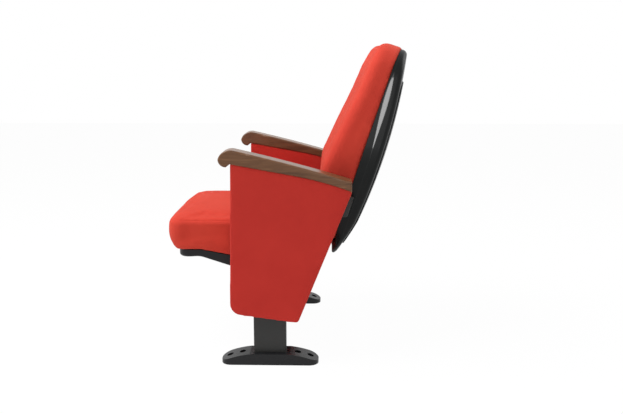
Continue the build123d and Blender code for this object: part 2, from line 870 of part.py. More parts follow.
def bracket_wing(front, margin):
    """The bracket's leaf behind the back board, curved with it, from a depth on and grown by a margin."""
    with BuildPart() as wing:
        with BuildSketch(turned_plane(back_radius, swing(back_radius))):
            with Locations((-back_sagitta - (front + bracket_rear + margin) / 2, -bracket_level)):
                Rectangle(bracket_rear + margin - front, bracket_height + 2 * margin)
        revolve(axis=swing_axis(back_radius), revolution_arc=2 * swing(back_radius))
        with BuildSketch(Plane.YZ.offset(column_inner - bracket_flange)):
            Rectangle(2 * far, 2 * far)
        extrude(amount=bracket_flange, mode=Mode.INTERSECT)
    return wing.part


wing_middle = column_inner - bracket_flange + bracket_margin + bracket_margin
back_bolt_levels = [-bracket_level + side * back_bolt_spacing / 2 for side in (-1, 1)]
back_bolt_planes = [back_spot(wing_middle, level, bracket_rear) for level in back_bolt_levels]

with BuildPart() as back_bracket:
    add(bracket_sheet(0))
    add(bracket_wing(board_rear, 0))
    for plane in back_bolt_planes:
        with BuildSketch(plane):
            Circle(bolt_hole)
        extrude(amount=bracket_thickness, both=True, mode=Mode.SUBTRACT)
    with BuildSketch(Plane.YZ.offset(column_inner)):
        with Locations(bracket_bolt_places):
            Circle(bolt_hole)
    extrude(amount=-bracket_thickness, mode=Mode.SUBTRACT)
write_pair(back_bracket, "back_bracket")

bracket_face = Plane.YZ.offset(column_inner - bracket_thickness)
hinge_face = Plane.YZ.offset(column_inner - hinge_plate_thickness)

with BuildPart() as bracket_bolts:
    add(bolt_set(bracket_face, bracket_bolt_places, bracket_thickness + column_wall))
write_pair(bracket_bolts, "bracket_bolts")

with BuildPart() as hinge_bolts:
    add(bolt_set(hinge_face, hinge_bolt_places, hinge_plate_thickness + column_wall))
write_pair(hinge_bolts, "hinge_bolts")

with BuildPart() as back_bolts:
    for plane in back_bolt_planes:
        with BuildSketch(plane):
            RegularPolygon(bolt_head_width / 2, 6, major_radius=False)
        extrude(amount=-bolt_head_height)
        with BuildSketch(plane):
            Circle(bolt_diameter / 2)
        extrude(amount=bracket_thickness + back_board_thickness - thread_gap)
write_pair(back_bolts, "back_bolts")


# Inner boards and covers, cut out for the hinge plate and the bracket

with BuildPart() as inner_board:
    add(board_slab(column_inner - board_thickness, board_thickness))
    with BuildSketch(Plane.YZ.offset(column_inner)):
        with Locations(((pivot_y + hinge_bolt_centre) / 2, pivot_height)):
            SlotCenterToCenter(hinge_plate_length, 2 * (hinge_boss_radius + panel_clearance))
        with Locations((0, bracket_column_height)):
            Rectangle(bracket_height + bracket_margin, bracket_height + 2 * panel_clearance)
    extrude(amount=-board_thickness, mode=Mode.SUBTRACT)
    add(bracket_sheet(panel_clearance), mode=Mode.SUBTRACT)
    add(board_holes(column_inner - board_thickness, board_thickness), mode=Mode.SUBTRACT)
write_pair(inner_board, "inner_board")

with BuildPart() as outer_board:
    add(board_slab(standard_x + column_width / 2, board_thickness))
    add(board_holes(standard_x + column_width / 2, board_thickness), mode=Mode.SUBTRACT)
write_pair(outer_board, "outer_board")

with BuildPart() as edge_rails:
    add(board_slab(column_inner, column_width))
    add(
        panel_body(panel_cover_thickness + rail_width, panel_thickness, panel_edge_rounding),
        mode=Mode.SUBTRACT,
    )
    with BuildSketch():
        with Locations((standard_x, 0)):
            Rectangle(column_width, column_depth + 2 * panel_clearance)
    extrude(amount=arm_height, mode=Mode.SUBTRACT)
    add(board_holes(column_inner, column_width), mode=Mode.SUBTRACT)
write_pair(edge_rails, "edge_rails")

with BuildPart() as board_screws:
    with BuildSketch(Plane.YZ.offset(column_inner - board_thickness)):
        with Locations(board_screw_places):
            Circle(wood_screw_diameter / 2)
    extrude(amount=board_thickness + column_width + board_thickness - wood_screw_head_height)
write_pair(board_screws, "board_screws")

with BuildPart() as side_cover:
    add(panel_body(0, panel_thickness / 2, panel_edge_rounding))
    add(panel_core, mode=Mode.SUBTRACT)
    add(over_arm, mode=Mode.SUBTRACT)
    with BuildSketch():
        with Locations((standard_x, 0)):
            Rectangle(column_width + 2 * panel_clearance, column_depth + 2 * panel_clearance)
    extrude(amount=pivot_height, mode=Mode.SUBTRACT)
    with BuildSketch(Plane.YZ.offset(panel_inner)):
        with Locations((pivot_y, pivot_height)):
            Circle(hinge_boss_radius + panel_clearance)
    extrude(amount=panel_cover_thickness, mode=Mode.SUBTRACT)
    add(bracket_sheet(panel_clearance), mode=Mode.SUBTRACT)
write_pair(side_cover, "side_cover")


# Back: board, foam, cover and shell

with BuildPart() as back_board:
    add(back_slice(0, board_rear))
    extrude(
        back_outline(shell_wall + back_board_clearance, back_board_top),
        amount=back_reach,
        dir=back_plane.z_dir,
        both=True,
        mode=Mode.INTERSECT,
    )
    for plane in back_bolt_planes:
        with BuildSketch(plane):
            Circle(bolt_diameter / 2)
        extrude(amount=bracket_thickness + back_board_thickness + board_rear, mode=Mode.SUBTRACT)
    for place in shell_screw_places:
        with BuildSketch(back_spot(place[0], place[1], board_rear)):
            Circle(wood_screw_diameter / 2)
        extrude(amount=wood_screw_grip, mode=Mode.SUBTRACT)
    mirror(about=Plane.YZ, mode=Mode.INTERSECT)
back_board.part.label = "back_board"
export_step(back_board.part, "parts/back_board.step")

back_foam_solid = back_padding(cover_thickness)

with BuildPart() as back_foam:
    add(back_foam_solid)
back_foam.part.label = "back_foam"
export_step(back_foam.part, "parts/back_foam.step")

with BuildPart() as back_cover:
    add(back_padding(0))
    add(back_foam_solid, mode=Mode.SUBTRACT)
back_cover.part.label = "back_cover"
export_step(back_cover.part, "parts/back_cover.step")

shell_outside = shell_solid(0, 0)

with BuildPart() as shell_panel:
    add(back_slice(board_rear, far / 5))
    add(shell_solid(-shell_panel_rise, 0), mode=Mode.INTERSECT)
    extrude(
        back_outline(shell_panel_inset, shell_panel_top),
        amount=back_reach,
        dir=back_plane.z_dir,
        both=True,
        mode=Mode.INTERSECT,
    )
    fillet(rim(facing(shell_panel, -back_plane.z_dir, 0.8)), shell_panel_rise / 2)

with BuildPart() as shell_bosses:
    for place in shell_screw_places:
        with BuildSketch(back_spot(place[0], place[1], board_rear)):
            Circle(shell_boss_diameter / 2)
        extrude(amount=-back_reach / 2)
    add(shell_solid(shell_wall / 2, 0), mode=Mode.INTERSECT)

with BuildPart() as back_shell:
    add(shell_outside)
    add(shell_panel.part)
    add(shell_solid(shell_wall, -far / 5), mode=Mode.SUBTRACT)
    add(shell_bosses.part)
    for place in shell_screw_places:
        with BuildSketch(back_spot(place[0], place[1], board_rear)):
            Circle(wood_screw_diameter / 2 + bolt_clearance)
        extrude(amount=-back_reach / 2, mode=Mode.SUBTRACT)
        with BuildSketch(back_spot(place[0], place[1], board_rear).offset(-wood_screw_grip)):
            Circle(wood_screw_head / 2 + bolt_clearance)
        extrude(amount=-back_reach / 2, mode=Mode.SUBTRACT)
    add(bracket_wing(0, panel_clearance), mode=Mode.SUBTRACT)
    add(mirror(bracket_wing(0, panel_clearance), about=Plane.YZ, mode=Mode.PRIVATE), mode=Mode.SUBTRACT)
back_shell.part.label = "back_shell"
export_step(back_shell.part, "parts/back_shell.step")

with BuildPart() as back_shell_screws:
    for place in shell_screw_places:
        with BuildSketch(back_spot(place[0], place[1], board_rear).offset(-wood_screw_grip)):
            Circle(wood_screw_diameter / 2)
        extrude(amount=2 * wood_screw_grip)
        with BuildSketch(back_spot(place[0], place[1], board_rear).offset(-wood_screw_grip)):
            Circle(wood_screw_head / 2)
        extrude(amount=-wood_screw_head_height)
back_shell_screws.part.label = "back_shell_screws"
export_step(back_shell_screws.part, "parts/back_shell_screws.step")


# Seat: frame, levers, board, padding and pan

lever_plane = Plane(origin=(lever_outer, 0, 0), x_dir=(0, -1, 0), z_dir=(-1, 0, 0))
frame_middle = seat_board_height - frame_tube / 2
lever_bolt_places = [(lever_bolt_front, frame_middle), (lever_bolt_front - lever_bolt_spacing, frame_middle)]
frame_screw_x = lever_inner - frame_tube / 2
frame_screw_rows = (-frame_screw_front, -frame_screw_rear)
frame_screw_places = [(side * frame_screw_x, y) for side in (-1, 1) for y in frame_screw_rows]
frame_length = frame_front - frame_rear
cross_tube_places = [(0, -frame_front + frame_tube / 2), (0, -frame_rear - frame_tube / 2)]

with BuildPart() as seat_arm:
    with BuildSketch(Plane.YZ.offset(lever_inner)):
        with Locations((pivot_y - lever_length / 2, frame_middle)):
            Rectangle(lever_length, frame_tube)
        with Locations((pivot_y, pivot_height)):
            Circle(lever_eye)
            Circle(bush_radius, mode=Mode.SUBTRACT)
        with BuildLine() as stop_way:
            CenterArc((pivot_y, pivot_height), stop_radius, stop_start, tip_angle)
        SlotArc(stop_way.wire(), slot_width, mode=Mode.SUBTRACT)
        with Locations((hook_end.Y, hook_end.Z)):
            Circle(spring_wire / 2 + spring_hole_clearance, mode=Mode.SUBTRACT)
    extrude(amount=lever_thickness)
    with BuildSketch(lever_plane):
        with Locations(lever_bolt_places):
            Circle(bolt_hole)
    extrude(amount=lever_thickness, mode=Mode.SUBTRACT)
write_pair(seat_arm, "seat_arm")

with BuildPart() as seat_frame:
    with BuildSketch(Plane.XY.offset(seat_board_height)):
        with Locations((0, -(frame_front + frame_rear) / 2)):
            Rectangle(2 * lever_inner, frame_length)
            Rectangle(2 * (lever_inner - frame_tube), frame_length - 2 * frame_tube, mode=Mode.SUBTRACT)
    extrude(amount=-frame_tube)
    with BuildSketch(Plane.XZ.offset(frame_rear)):
        with Locations((-frame_screw_x, frame_middle), (frame_screw_x, frame_middle)):
            Rectangle(frame_tube - 2 * frame_tube_wall, frame_tube - 2 * frame_tube_wall)
    extrude(amount=frame_length, mode=Mode.SUBTRACT)
    with BuildSketch(Plane.YZ):
        for place in cross_tube_places:
            with Locations((place[1], frame_middle)):
                Rectangle(frame_tube - 2 * frame_tube_wall, frame_tube - 2 * frame_tube_wall)
    extrude(amount=lever_inner - frame_tube, both=True, mode=Mode.SUBTRACT)
    with BuildSketch(lever_plane):
        with Locations(lever_bolt_places):
            Circle(bolt_hole)
    extrude(amount=lever_thickness + frame_tube_wall, mode=Mode.SUBTRACT)
    with BuildSketch(lever_plane.offset(2 * lever_inner - frame_tube_wall + lever_thickness)):
        with Locations(lever_bolt_places):
            Circle(bolt_hole)
    extrude(amount=frame_tube_wall, mode=Mode.SUBTRACT)
    with BuildSketch(Plane.XY.offset(seat_board_height)):
        with Locations(frame_screw_places):
            Circle(wood_screw_diameter / 2 + bolt_clearance)
    extrude(amount=-frame_tube, mode=Mode.SUBTRACT)
seat_frame.part.label = "seat_frame"
export_step(seat_frame.part, "parts/seat_frame.step")

with BuildPart() as seat_arm_bolts:
    add(bolt_set(lever_plane, lever_bolt_places, lever_thickness + frame_tube_wall))
write_pair(seat_arm_bolts, "seat_arm_bolts")

tower_rows = (-tower_front, -tower_middle, tower_rear)
tower_places = [(side * tower_x, y) for side in (-1, 1) for y in tower_rows]

with BuildPart() as seat_board:
    with BuildSketch(Plane.XY.offset(seat_board_height)):
        with Locations((0, (seat_board_rear - seat_board_front) / 2)):
            Rectangle(2 * board_half, seat_board_front + seat_board_rear)
        with Locations((-seat_half, seat_rear), (seat_half, seat_rear)):
            Rectangle(2 * notch_depth, 2 * (seat_rear - pivot_y + drum_radius), mode=Mode.SUBTRACT)
        with Locations(frame_screw_places + tower_places):
            Circle(wood_screw_diameter / 2, mode=Mode.SUBTRACT)
    extrude(amount=seat_board_thickness)
seat_board.part.label = "seat_board"
export_step(seat_board.part, "parts/seat_board.step")

with BuildPart() as seat_frame_screws:
    with BuildSketch(Plane.XY.offset(seat_board_height - frame_tube)):
        with Locations(frame_screw_places):
            Circle(wood_screw_diameter / 2)
    extrude(amount=frame_tube + wood_screw_grip)
    with BuildSketch(Plane.XY.offset(seat_board_height - frame_tube)):
        with Locations(frame_screw_places):
            Circle(wood_screw_head / 2)
    extrude(amount=-wood_screw_head_height)
seat_frame_screws.part.label = "seat_frame_screws"
export_step(seat_frame_screws.part, "parts/seat_frame_screws.step")


def above_edge(drop):
    """All that lies above the line where the seat's padding meets its pan, lowered by drop."""
    with BuildPart() as block:
        with BuildSketch(Plane.YZ):
            with BuildLine():
                Polyline(
                    (-far, seat_edge_front_height - drop),
                    (-seat_edge_bend, seat_edge_front_height - drop),
                    (-seat_edge_rear_bend, seat_edge_rear_height - drop),
                    (far, seat_edge_rear_height - drop),
                    (far, far),
                    (-far, far),
                    close=True,
                )
            make_face()
        extrude(amount=seat_width, both=True)
    return block.part


def drum_block(radius, inner):
    """A round block about the hinge on both sides, from a distance beside the middle outwards."""
    with BuildPart() as drums:
        for side in (-1, 1):
            with BuildSketch(Plane.YZ.offset(side * inner)):
                with Locations((pivot_y, pivot_height)):
                    Circle(radius)
            extrude(amount=side * seat_width)
    return drums.part


def seat_plan(half, front, rear, front_radius, rear_radius):
    """An upright block over a plan outline of the seat, with its front and rear corners rounded."""
    with BuildPart() as block:
        with BuildSketch() as plan:
            with Locations((0, (rear - front) / 2)):
                Rectangle(2 * half, front + rear)
            fillet(plan.vertices().group_by(Axis.Y)[0], front_radius)
            fillet(plan.vertices().group_by(Axis.Y)[-1], rear_radius)
        extrude(amount=far)
    return block.part


def seat_padding(inset):
    """The seat cushion: a crowned top, a tucked nose and sides drawn in at the pan."""
    low = seat_tuck_rounding / 4
    block_top = seat_height + seat_block_margin
    block_rear = seat_rear + seat_block_margin
    nose = -seat_front - seat_nose_overrun + inset
    nose_foot = (-seat_front + seat_tuck + inset, seat_edge_front_height - low)
    with BuildPart() as padding:
        with BuildSketch(Plane.YZ):
            with BuildLine():
                Line((nose, block_top), (nose, seat_nose_height))
                TangentArc((nose, seat_nose_height), nose_foot, tangent=(0, -1))
                Polyline(
                    nose_foot,
                    (-seat_edge_bend, seat_edge_front_height - low),
                    (-seat_edge_rear_bend, seat_edge_rear_height - low),
                    (block_rear, seat_edge_rear_height - low),
                    (block_rear, block_top),
                    (nose, block_top),
                )
            make_face()
        extrude(amount=seat_half + seat_block_margin, both=True)
        with BuildSketch(Plane.XZ):
            with Locations((0, seat_height - seat_crown_radius)):
                Circle(seat_crown_radius - inset)
        extrude(amount=far, both=True, mode=Mode.INTERSECT)
        add(
            seat_plan(
                seat_half - inset,
                seat_front - inset,
                seat_rear - inset,
                seat_corner_radius - inset,
                seat_rear_corner_radius - inset,
            ),
            mode=Mode.INTERSECT,
        )
        fillet(rim(facing(padding, (0, 0, 1), 0.5)), seat_top_rounding - inset)
        fillet(rim(facing(padding, (0, 0, -1), 0.5)), seat_tuck_rounding - inset)
        add(above_edge(0), mode=Mode.INTERSECT)
        add(drum_block(drum_radius + pan_gap + inset, seat_half - notch_depth - inset), mode=Mode.SUBTRACT)
    return padding.part


with BuildPart() as seat_pocket:
    with BuildSketch(Plane.XY):
        with Locations((0, (seat_board_rear - seat_board_front) / 2)):
            Rectangle(2 * (board_half + pan_gap), seat_board_front + seat_board_rear + 2 * pan_gap)
    extrude(amount=seat_board_height + seat_board_thickness)

with BuildPart() as seat_foam:
    add(seat_padding(cover_thickness))
    add(seat_pocket.part, mode=Mode.SUBTRACT)
seat_foam.part.label = "seat_foam"
export_step(seat_foam.part, "parts/seat_foam.step")

with BuildPart() as seat_cover:
    add(seat_padding(0))
    add(seat_padding(cover_thickness), mode=Mode.SUBTRACT)
    add(seat_pocket.part, mode=Mode.SUBTRACT)
seat_cover.part.label = "seat_cover"
export_step(seat_cover.part, "parts/seat_cover.step")


def pan_solid(inset):
    """The space inside the seat pan, drawn in by inset and still uncut at the top."""
    with BuildPart() as solid:
        with BuildSketch(Plane.YZ) as side:
            with BuildLine():
                Polyline(
                    (-pan_front, seat_height),
                    (-pan_front, pan_front_height),
                    (-pan_waist, pan_waist_height),
                    (-pan_belly_front, pan_belly_height),
                    (pan_belly_rear, pan_belly_height),
                    (pan_rear, seat_edge_rear_height),
                    (pan_rear, seat_height),
                    close=True,
                )
            make_face()
            round_corner(side, (-pan_waist, pan_waist_height), pan_bend)
            round_corner(side, (-pan_belly_front, pan_belly_height), pan_bend)
            round_corner(side, (pan_belly_rear, pan_belly_height), pan_bend)
            offset(amount=-inset, mode=Mode.REPLACE)
        extrude(amount=pan_half - inset, both=True)
        add(
            seat_plan(
                pan_half - inset,
                pan_front - inset,
                pan_rear - inset,
                pan_corner_radius - inset,
                pan_rear_corner - inset,
            ),
            mode=Mode.INTERSECT,
        )
        fillet(rim(facing(solid, (0, 0, -1), 0.5)), pan_edge_rounding - inset)
    return solid.part


pan_space = pan_solid(0)

with BuildPart() as pan_towers:
    with BuildSketch(Plane.XY.offset(seat_board_height)):
        with Locations(tower_places):
            Circle(tower_diameter / 2)
    extrude(amount=-seat_board_height)
    add(pan_solid(pan_wall / 2), mode=Mode.INTERSECT)

with BuildPart() as pan_drums:
    add(drum_block(drum_radius, pan_half - drum_depth))
    add(drum_block(drum_radius - drum_wall, pan_half - drum_depth), mode=Mode.SUBTRACT)
    add(drum_block(drum_radius, pan_half - drum_wall))
    with BuildSketch(Plane.YZ):
        Rectangle(2 * far, 2 * far)
    extrude(amount=pan_half, both=True, mode=Mode.INTERSECT)

with BuildPart() as seat_pan:
    add(pan_space)
    add(above_edge(pan_gap), mode=Mode.SUBTRACT)
    add(pan_solid(pan_wall), mode=Mode.SUBTRACT)
    add(pan_drums.part)
    add(pan_towers.part)
    add(drum_block(drum_hole, pan_half - drum_wall - drum_gap), mode=Mode.SUBTRACT)
    with BuildSketch(Plane.XY):
        with Locations(tower_places):
            Circle(wood_screw_diameter / 2 + bolt_clearance)
    extrude(amount=seat_board_height, mode=Mode.SUBTRACT)
    with BuildSketch(Plane.XY):
        with Locations(tower_places):
            Circle(wood_screw_head / 2 + bolt_clearance)
    extrude(amount=seat_board_height - wood_screw_grip, mode=Mode.SUBTRACT)
seat_pan.part.label = "seat_pan"
export_step(seat_pan.part, "parts/seat_pan.step")

with BuildPart() as seat_pan_screws:
    with BuildSketch(Plane.XY.offset(seat_board_height - wood_screw_grip)):
        with Locations(tower_places):
            Circle(wood_screw_diameter / 2)
    extrude(amount=2 * wood_screw_grip)
    with BuildSketch(Plane.XY.offset(seat_board_height - wood_screw_grip)):
        with Locations(tower_places):
            Circle(wood_screw_head / 2)
    extrude(amount=-wood_screw_head_height)
seat_pan_screws.part.label = "seat_pan_screws"
export_step(seat_pan_screws.part, "parts/seat_pan_screws.step")
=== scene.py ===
"""Looks of the tip-up auditorium seat: upholstery, wood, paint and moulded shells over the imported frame."""
import json
from math import cos, exp, hypot, pi, radians, sin, sqrt, tan

import bmesh
import bpy
from mathutils import Matrix, Vector, noise
from mathutils.bvhtree import BVHTree
from mathutils.kdtree import KDTree


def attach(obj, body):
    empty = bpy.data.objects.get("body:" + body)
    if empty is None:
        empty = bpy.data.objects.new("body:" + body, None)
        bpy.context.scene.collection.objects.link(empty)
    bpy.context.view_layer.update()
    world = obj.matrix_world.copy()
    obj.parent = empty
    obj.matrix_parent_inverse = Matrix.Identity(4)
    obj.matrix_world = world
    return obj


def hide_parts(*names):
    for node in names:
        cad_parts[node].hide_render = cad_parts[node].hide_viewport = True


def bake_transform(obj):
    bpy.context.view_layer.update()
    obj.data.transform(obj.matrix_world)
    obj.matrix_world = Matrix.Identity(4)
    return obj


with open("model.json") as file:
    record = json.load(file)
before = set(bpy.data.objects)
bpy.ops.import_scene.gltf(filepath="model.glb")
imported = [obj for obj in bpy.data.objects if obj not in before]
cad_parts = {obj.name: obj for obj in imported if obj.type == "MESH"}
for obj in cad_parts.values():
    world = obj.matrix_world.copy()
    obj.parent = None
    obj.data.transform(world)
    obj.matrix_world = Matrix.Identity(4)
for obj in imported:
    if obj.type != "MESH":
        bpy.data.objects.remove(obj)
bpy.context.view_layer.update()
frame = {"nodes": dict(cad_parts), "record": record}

SIDES = {"left": 1, "right": -1}
MM = 0.001

# All lengths are in metres, unless a comment says otherwise

# The photograph's camera; the lens and the sensor are in millimetres
CAMERA_PLACE = Vector((2.374, 0.175, 0.904))
CAMERA_LENS = 41.14
CAMERA_SENSOR = 36
CAMERA_DOWN = radians(11.24)
CAMERA_YAW = radians(1.30)

# Lamps: name, place, the point that it looks at, side of its square, watts
LAMPS = (
    ("key", (0.6, -1.8, 3.4), (0, 0, 0.5), 2.2, 170),
    ("fill", (2.95, 0.65, 0.95), (0.2, 0.3, 0.7), 0.7, 9.5),
    ("rear", (-0.6, 2.8, 2.2), (0, 0.1, 0.6), 2.0, 40),
)
WORLD_LIGHT = 0.34
WHITE = (1, 1, 1, 1)

# Floor
FLOOR_HALF = 9
FLOOR_GREY = (0.86, 0.86, 0.86, 1)
FLOOR_WHITENED = 0.97

# Cloths: colour painted as the light on the raised weave, colour painted as the shade in the sunk weave, and
# weight of the fuzz; slub and patches also mix the two at random
CUSHION_RED = ((0.67, 0.066, 0.035), (0.43, 0.022, 0.013), 0.22)
# The side panels' cloth is the cushion cloth made darker, with less fuzz: the darkening is painted shade for
# the upright panels
PANEL_RED_SHADED = ((0.58, 0.036, 0.024), (0.39, 0.016, 0.011), 0.10)
THREAD_RED = ((0.62, 0.07, 0.05), (0.42, 0.03, 0.022), 0.1)
FUZZ_TINT = (1.0, 0.36, 0.25, 1)
YARN_PAIR = 1.7 * MM

# Other finishes
WALNUT_STAIN = ((0.28, (0.070, 0.030, 0.014)), (0.50, (0.125, 0.057, 0.026)), (0.74, (0.200, 0.098, 0.046)))
BIRCH = ((0.2, (0.36, 0.22, 0.115)), (0.8, (0.66, 0.48, 0.29)))
PLY_PAIR = 3.0 * MM
SHELL_BLACK = ((0.005, 0.006, 0.006), (0.012, 0.013, 0.013))
PAN_BLACK = (0.006, 0.006, 0.007)
ZINC_GREY = (0.60, 0.61, 0.63)
STEEL_GREY = (0.62, 0.62, 0.63)
FOAM_YELLOW = (0.72, 0.66, 0.50)
BUSH_CREAM = (0.75, 0.73, 0.66)
RUBBER_BLACK = (0.022, 0.022, 0.022)

# Paints by slot: name, colour, roughness, lumps under the paint per metre, and how deep these are
PAINTS = {
    "cast_foot": ("painted_casting", (0.006, 0.006, 0.007), 0.20, 160.0, 0.35 * MM),
    "column_paint": ("column_paint", (0.022, 0.022, 0.021), 0.36, 900.0, 0.08 * MM),
    "black_frame": ("frame_paint", (0.018, 0.018, 0.019), 0.42, 900.0, 0.06 * MM),
    "black_screw": ("blackened_screw", (0.020, 0.020, 0.021), 0.38, 1200.0, 0.04 * MM),
}

# Pads: the cover of each foam, how far its fabric may sink, and the net that is laid over the pad
COVER = 0.0015
SLACK = 0.0008
SEAT_NET = 5.5 * MM
BACK_NET = 6.2 * MM
PANEL_NET = 4.5 * MM
CUSHION_EVENING = 4
PANEL_EVENING = 2
CUSHION_FILL = 0.9

# The fabric while the filling swells it, and how many frames that takes
FABRIC = {
    "quality": 4,
    "mass": 0.15,
    "tension_stiffness": 15,
    "compression_stiffness": 15,
    "shear_stiffness": 5,
    "bending_stiffness": 2.0,
    "use_pressure": True,
    "uniform_pressure_force": 4,
}
SWELLING_FRAMES = 20

# Seams, which lie half way round a rounded edge: a groove, a swell beside it and gathers along it; the
# heights of the last two are parts of the groove's depth
SEAM_ANGLE = pi / 4
GROOVE_WIDTH = 2.6 * MM
SWELL_HEIGHT = 0.4
SWELL_PLACE = 10 * MM
SWELL_WIDTH = 7 * MM
GATHER_HEIGHT = 0.7
GATHER_REACH = 11 * MM
GATHERS_A_METRE = 62.0

# Stitches; they are lifted off the fabric by millimetres
STITCH_SPACING = 5.2 * MM
STITCH_LENGTH = 4.0 * MM
STITCH_LIFT = 0.12
THREAD_WIDTH = 0.8 * MM
SEAT_STITCH_ANGLE = radians(36)
BACK_STITCH_ANGLE = radians(39)

# Seat cushion: its block, the pocket round the board, and the hollow at each hinge drum
SEAT_HALF = 0.245
SEAT_FRONT = -0.316
SEAT_REAR = 0.125
SEAT_TOP = 0.453
SEAT_CROWN_RADIUS = 2.593
SEAT_FRONT_CORNER = 0.042
SEAT_REAR_CORNER = 0.028
SEAT_ROUNDING = 0.024
SEAT_EDGE_FRONT = (-0.215, 0.343)
SEAT_EDGE_REAR = (-0.020, 0.305)
SEAT_HEM = 5 * MM
POCKET_HALF = 0.2295
POCKET_FRONT = -0.2690
POCKET_REAR = 0.1050
POCKET_TOP = 0.3585
PIVOT = Vector((0, 0.055, 0.345))
DRUM_RADIUS = 0.0575
DRUM_START = 0.192

# How far the seat's fabric may swell, millimetres, and where that changes
SEAT_SWELL = 10.0
SEAT_SWELL_LOST_LOW = 7.0
SEAT_SWELL_KEPT_AT_NOSE = 5.0
SEAT_SWELL_LOST_REAR = 0.6
SEAT_NOSE = (-0.20, -0.30)
SEAT_REAR_FADE = (0.05, 0.10)
SIDE_DEPTH = 0.060

# How the seat is stuffed: round at the nose, fuller towards the middle, and uneven by millimetres
NOSE_PLUMP = 8 * MM
NOSE_START = -0.25
NOSE_RUN = 0.06
TOP_PLUMP = 3 * MM
TOP_PLUMP_DEPTH = 0.02
TOP_PLUMP_RUN = 0.08
SEAT_LUMPS_A_METRE = 11.0
SEAT_LUMP_HEIGHT = 1.2
SEAT_EVEN_BELOW = 0.06
SEAT_SEAM_DEPTH = 1.3 * MM
SEAT_SEAM_SEED = 3.7

# Back cushion, measured across, up and ahead from the middle of the back
BACK_ORIGIN = Vector((0, 0.255, 0.565))
BACK_RAKE = radians(18.1)
BACK_UP = Vector((0, sin(BACK_RAKE), cos(BACK_RAKE)))
BACK_AHEAD = Vector((0, -cos(BACK_RAKE), sin(BACK_RAKE)))
MOUTH_CENTRE = 1.200
MOUTH_RADIUS = 1.225
FRONT_RADIUS = 2.000
BACK_PROFILE = ((-0.214, 0.020), (-0.180, 0.036), (-0.120, 0.066), (-0.050, 0.085), (0.005, 0.091),
                (0.080, 0.086), (0.245, 0.064), (0.430, 0.050))
BACK_CORNERS = ((-0.235, -0.207, 0.062), (0.235, -0.207, 0.062), (0.250, 0.090, 0.500),
                (0.223, 0.417, 0.092), (-0.223, 0.417, 0.092), (-0.250, 0.090, 0.500))
BACK_ROUNDING = 0.034

# How far the back's fabric may swell and how uneven it is, millimetres, and where it stays on the foam
BACK_SWELL = 6.5
BACK_SWELL_LOST_LOW = 3.0
BACK_LUMP_HEIGHT = 1.3
BACK_LUMPS_A_METRE = 9.0
BACK_HELD = 7 * MM
BACK_SEWN = 8 * MM
BACK_SEAM_DEPTH = 0.5 * MM
BACK_SEAM_SEED = 1.3

# Folds low on the sides of the back cushion, their height in millimetres
FOLD_HEIGHT = 1.6
FOLDS_A_METRE = 38.0
FOLD_SLANT = 3.0
FOLD_SEED = 9.1
FOLD_LEVEL = 0.10
FOLD_SPREAD = 0.09
FOLD_REACH = 16 * MM
FOLD_START = 0.02

# Back shell: its tail below the back panel, and the glossy band of its sides
TAIL_LEVEL = -0.130
TAIL_LENGTH = 0.080
TAIL_REACH = Vector((0, -0.046, -0.0500))
TAIL_LIP = 0.012
TAIL_DEPTH = 0.045
TAIL_CURVE_DOWN = 1.4
TAIL_CURVE_IN = 0.4
SHELL_EDGE_ANGLE = 32
BAND_LOW = 0.070
BAND_HIGH = 0.340
BAND_DEPTH_LOW = -0.024
BAND_DEPTH_HIGH = -0.011
BAND_HALF = 0.0085
BAND_LEAST = 0.0001
BAND_EDGE = 3.0
BAND_ACROSS = 0.2

# Side panels
PANEL_MIDDLE = 0.290
PANEL_HALF = 0.030
PANEL_FRONT = (-0.119, 0.163)
PANEL_FRONT_LEAN = radians(1.2)
PANEL_FRONT_CORNER = 0.035
PANEL_REAR = (0.0865, 0.135)
PANEL_REAR_LEAN = radians(21.7)
PANEL_REAR_CORNER = 0.007
PANEL_ABOVE_ARM = 0.75
PANEL_STEP = 4 * MM
PANEL_CLEAR = 3 * MM
PANEL_TUCK = 1.6 * MM
MEETING_ROUNDS = 20
BOSS_RADIUS = 0.0430
BOSS_DEPTH = 24 * MM
BOSS_FACETS = 64
BOSS_HEM = 4 * MM
BOSS_REACH = 5 * MM
ARM_HEIGHT = 0.601
ARM_SLOPE = radians(10.3)
ARM_BEND = 0.078
ARM_ARC = 0.960

# The fabric of the side panels, and the gathers in it under the arm; lump and gather heights in millimetres
PANEL_SWELL = 2.2 * MM
PANEL_EDGE_HELD = 4 * MM
PANEL_PADDING = 1.0 * MM
PANEL_LUMPS_A_METRE = 10.0
PANEL_LUMP_HEIGHT = 0.6
PANEL_LUMP_START = 6 * MM
ARM_GATHERS_A_METRE = 75.0
ARM_GATHER_SEED = 4.0
ARM_GATHER_SLANT = 8.0
ARM_GATHER_HEIGHT = 1.3
ARM_GATHER_REACH = 14 * MM
ARM_GATHER_START = 5 * MM


# Camera and lamps

def set_camera():
    """The camera of the photograph."""
    level = cos(CAMERA_DOWN)
    ahead = Vector((-cos(CAMERA_YAW) * level, -sin(CAMERA_YAW) * level, -sin(CAMERA_DOWN)))
    right = ahead.cross(Vector((0, 0, 1))).normalized()
    above = right.cross(ahead)
    lens = bpy.data.cameras.new("camera")
    lens.sensor_fit = "HORIZONTAL"
    lens.sensor_width = CAMERA_SENSOR
    lens.lens = CAMERA_LENS
    camera = bpy.data.objects.new("camera", lens)
    turned = Matrix((right, above, -ahead)).transposed().to_4x4()
    camera.matrix_world = Matrix.Translation(CAMERA_PLACE) @ turned
    bpy.context.scene.collection.objects.link(camera)
    bpy.context.scene.camera = camera


def hang_lamp(name, spot, target, side, watts):
    """A plain soft square lamp that looks at a point."""
    lamp = bpy.data.lights.new(name, "AREA")
    lamp.shape = "SQUARE"
    lamp.size = side
    lamp.energy = watts
    holder = bpy.data.objects.new(name, lamp)
    holder.location = spot
    holder.rotation_euler = (Vector(target) - Vector(spot)).to_track_quat("-Z", "Y").to_euler()
    bpy.context.scene.collection.objects.link(holder)


# Shader maths and materials

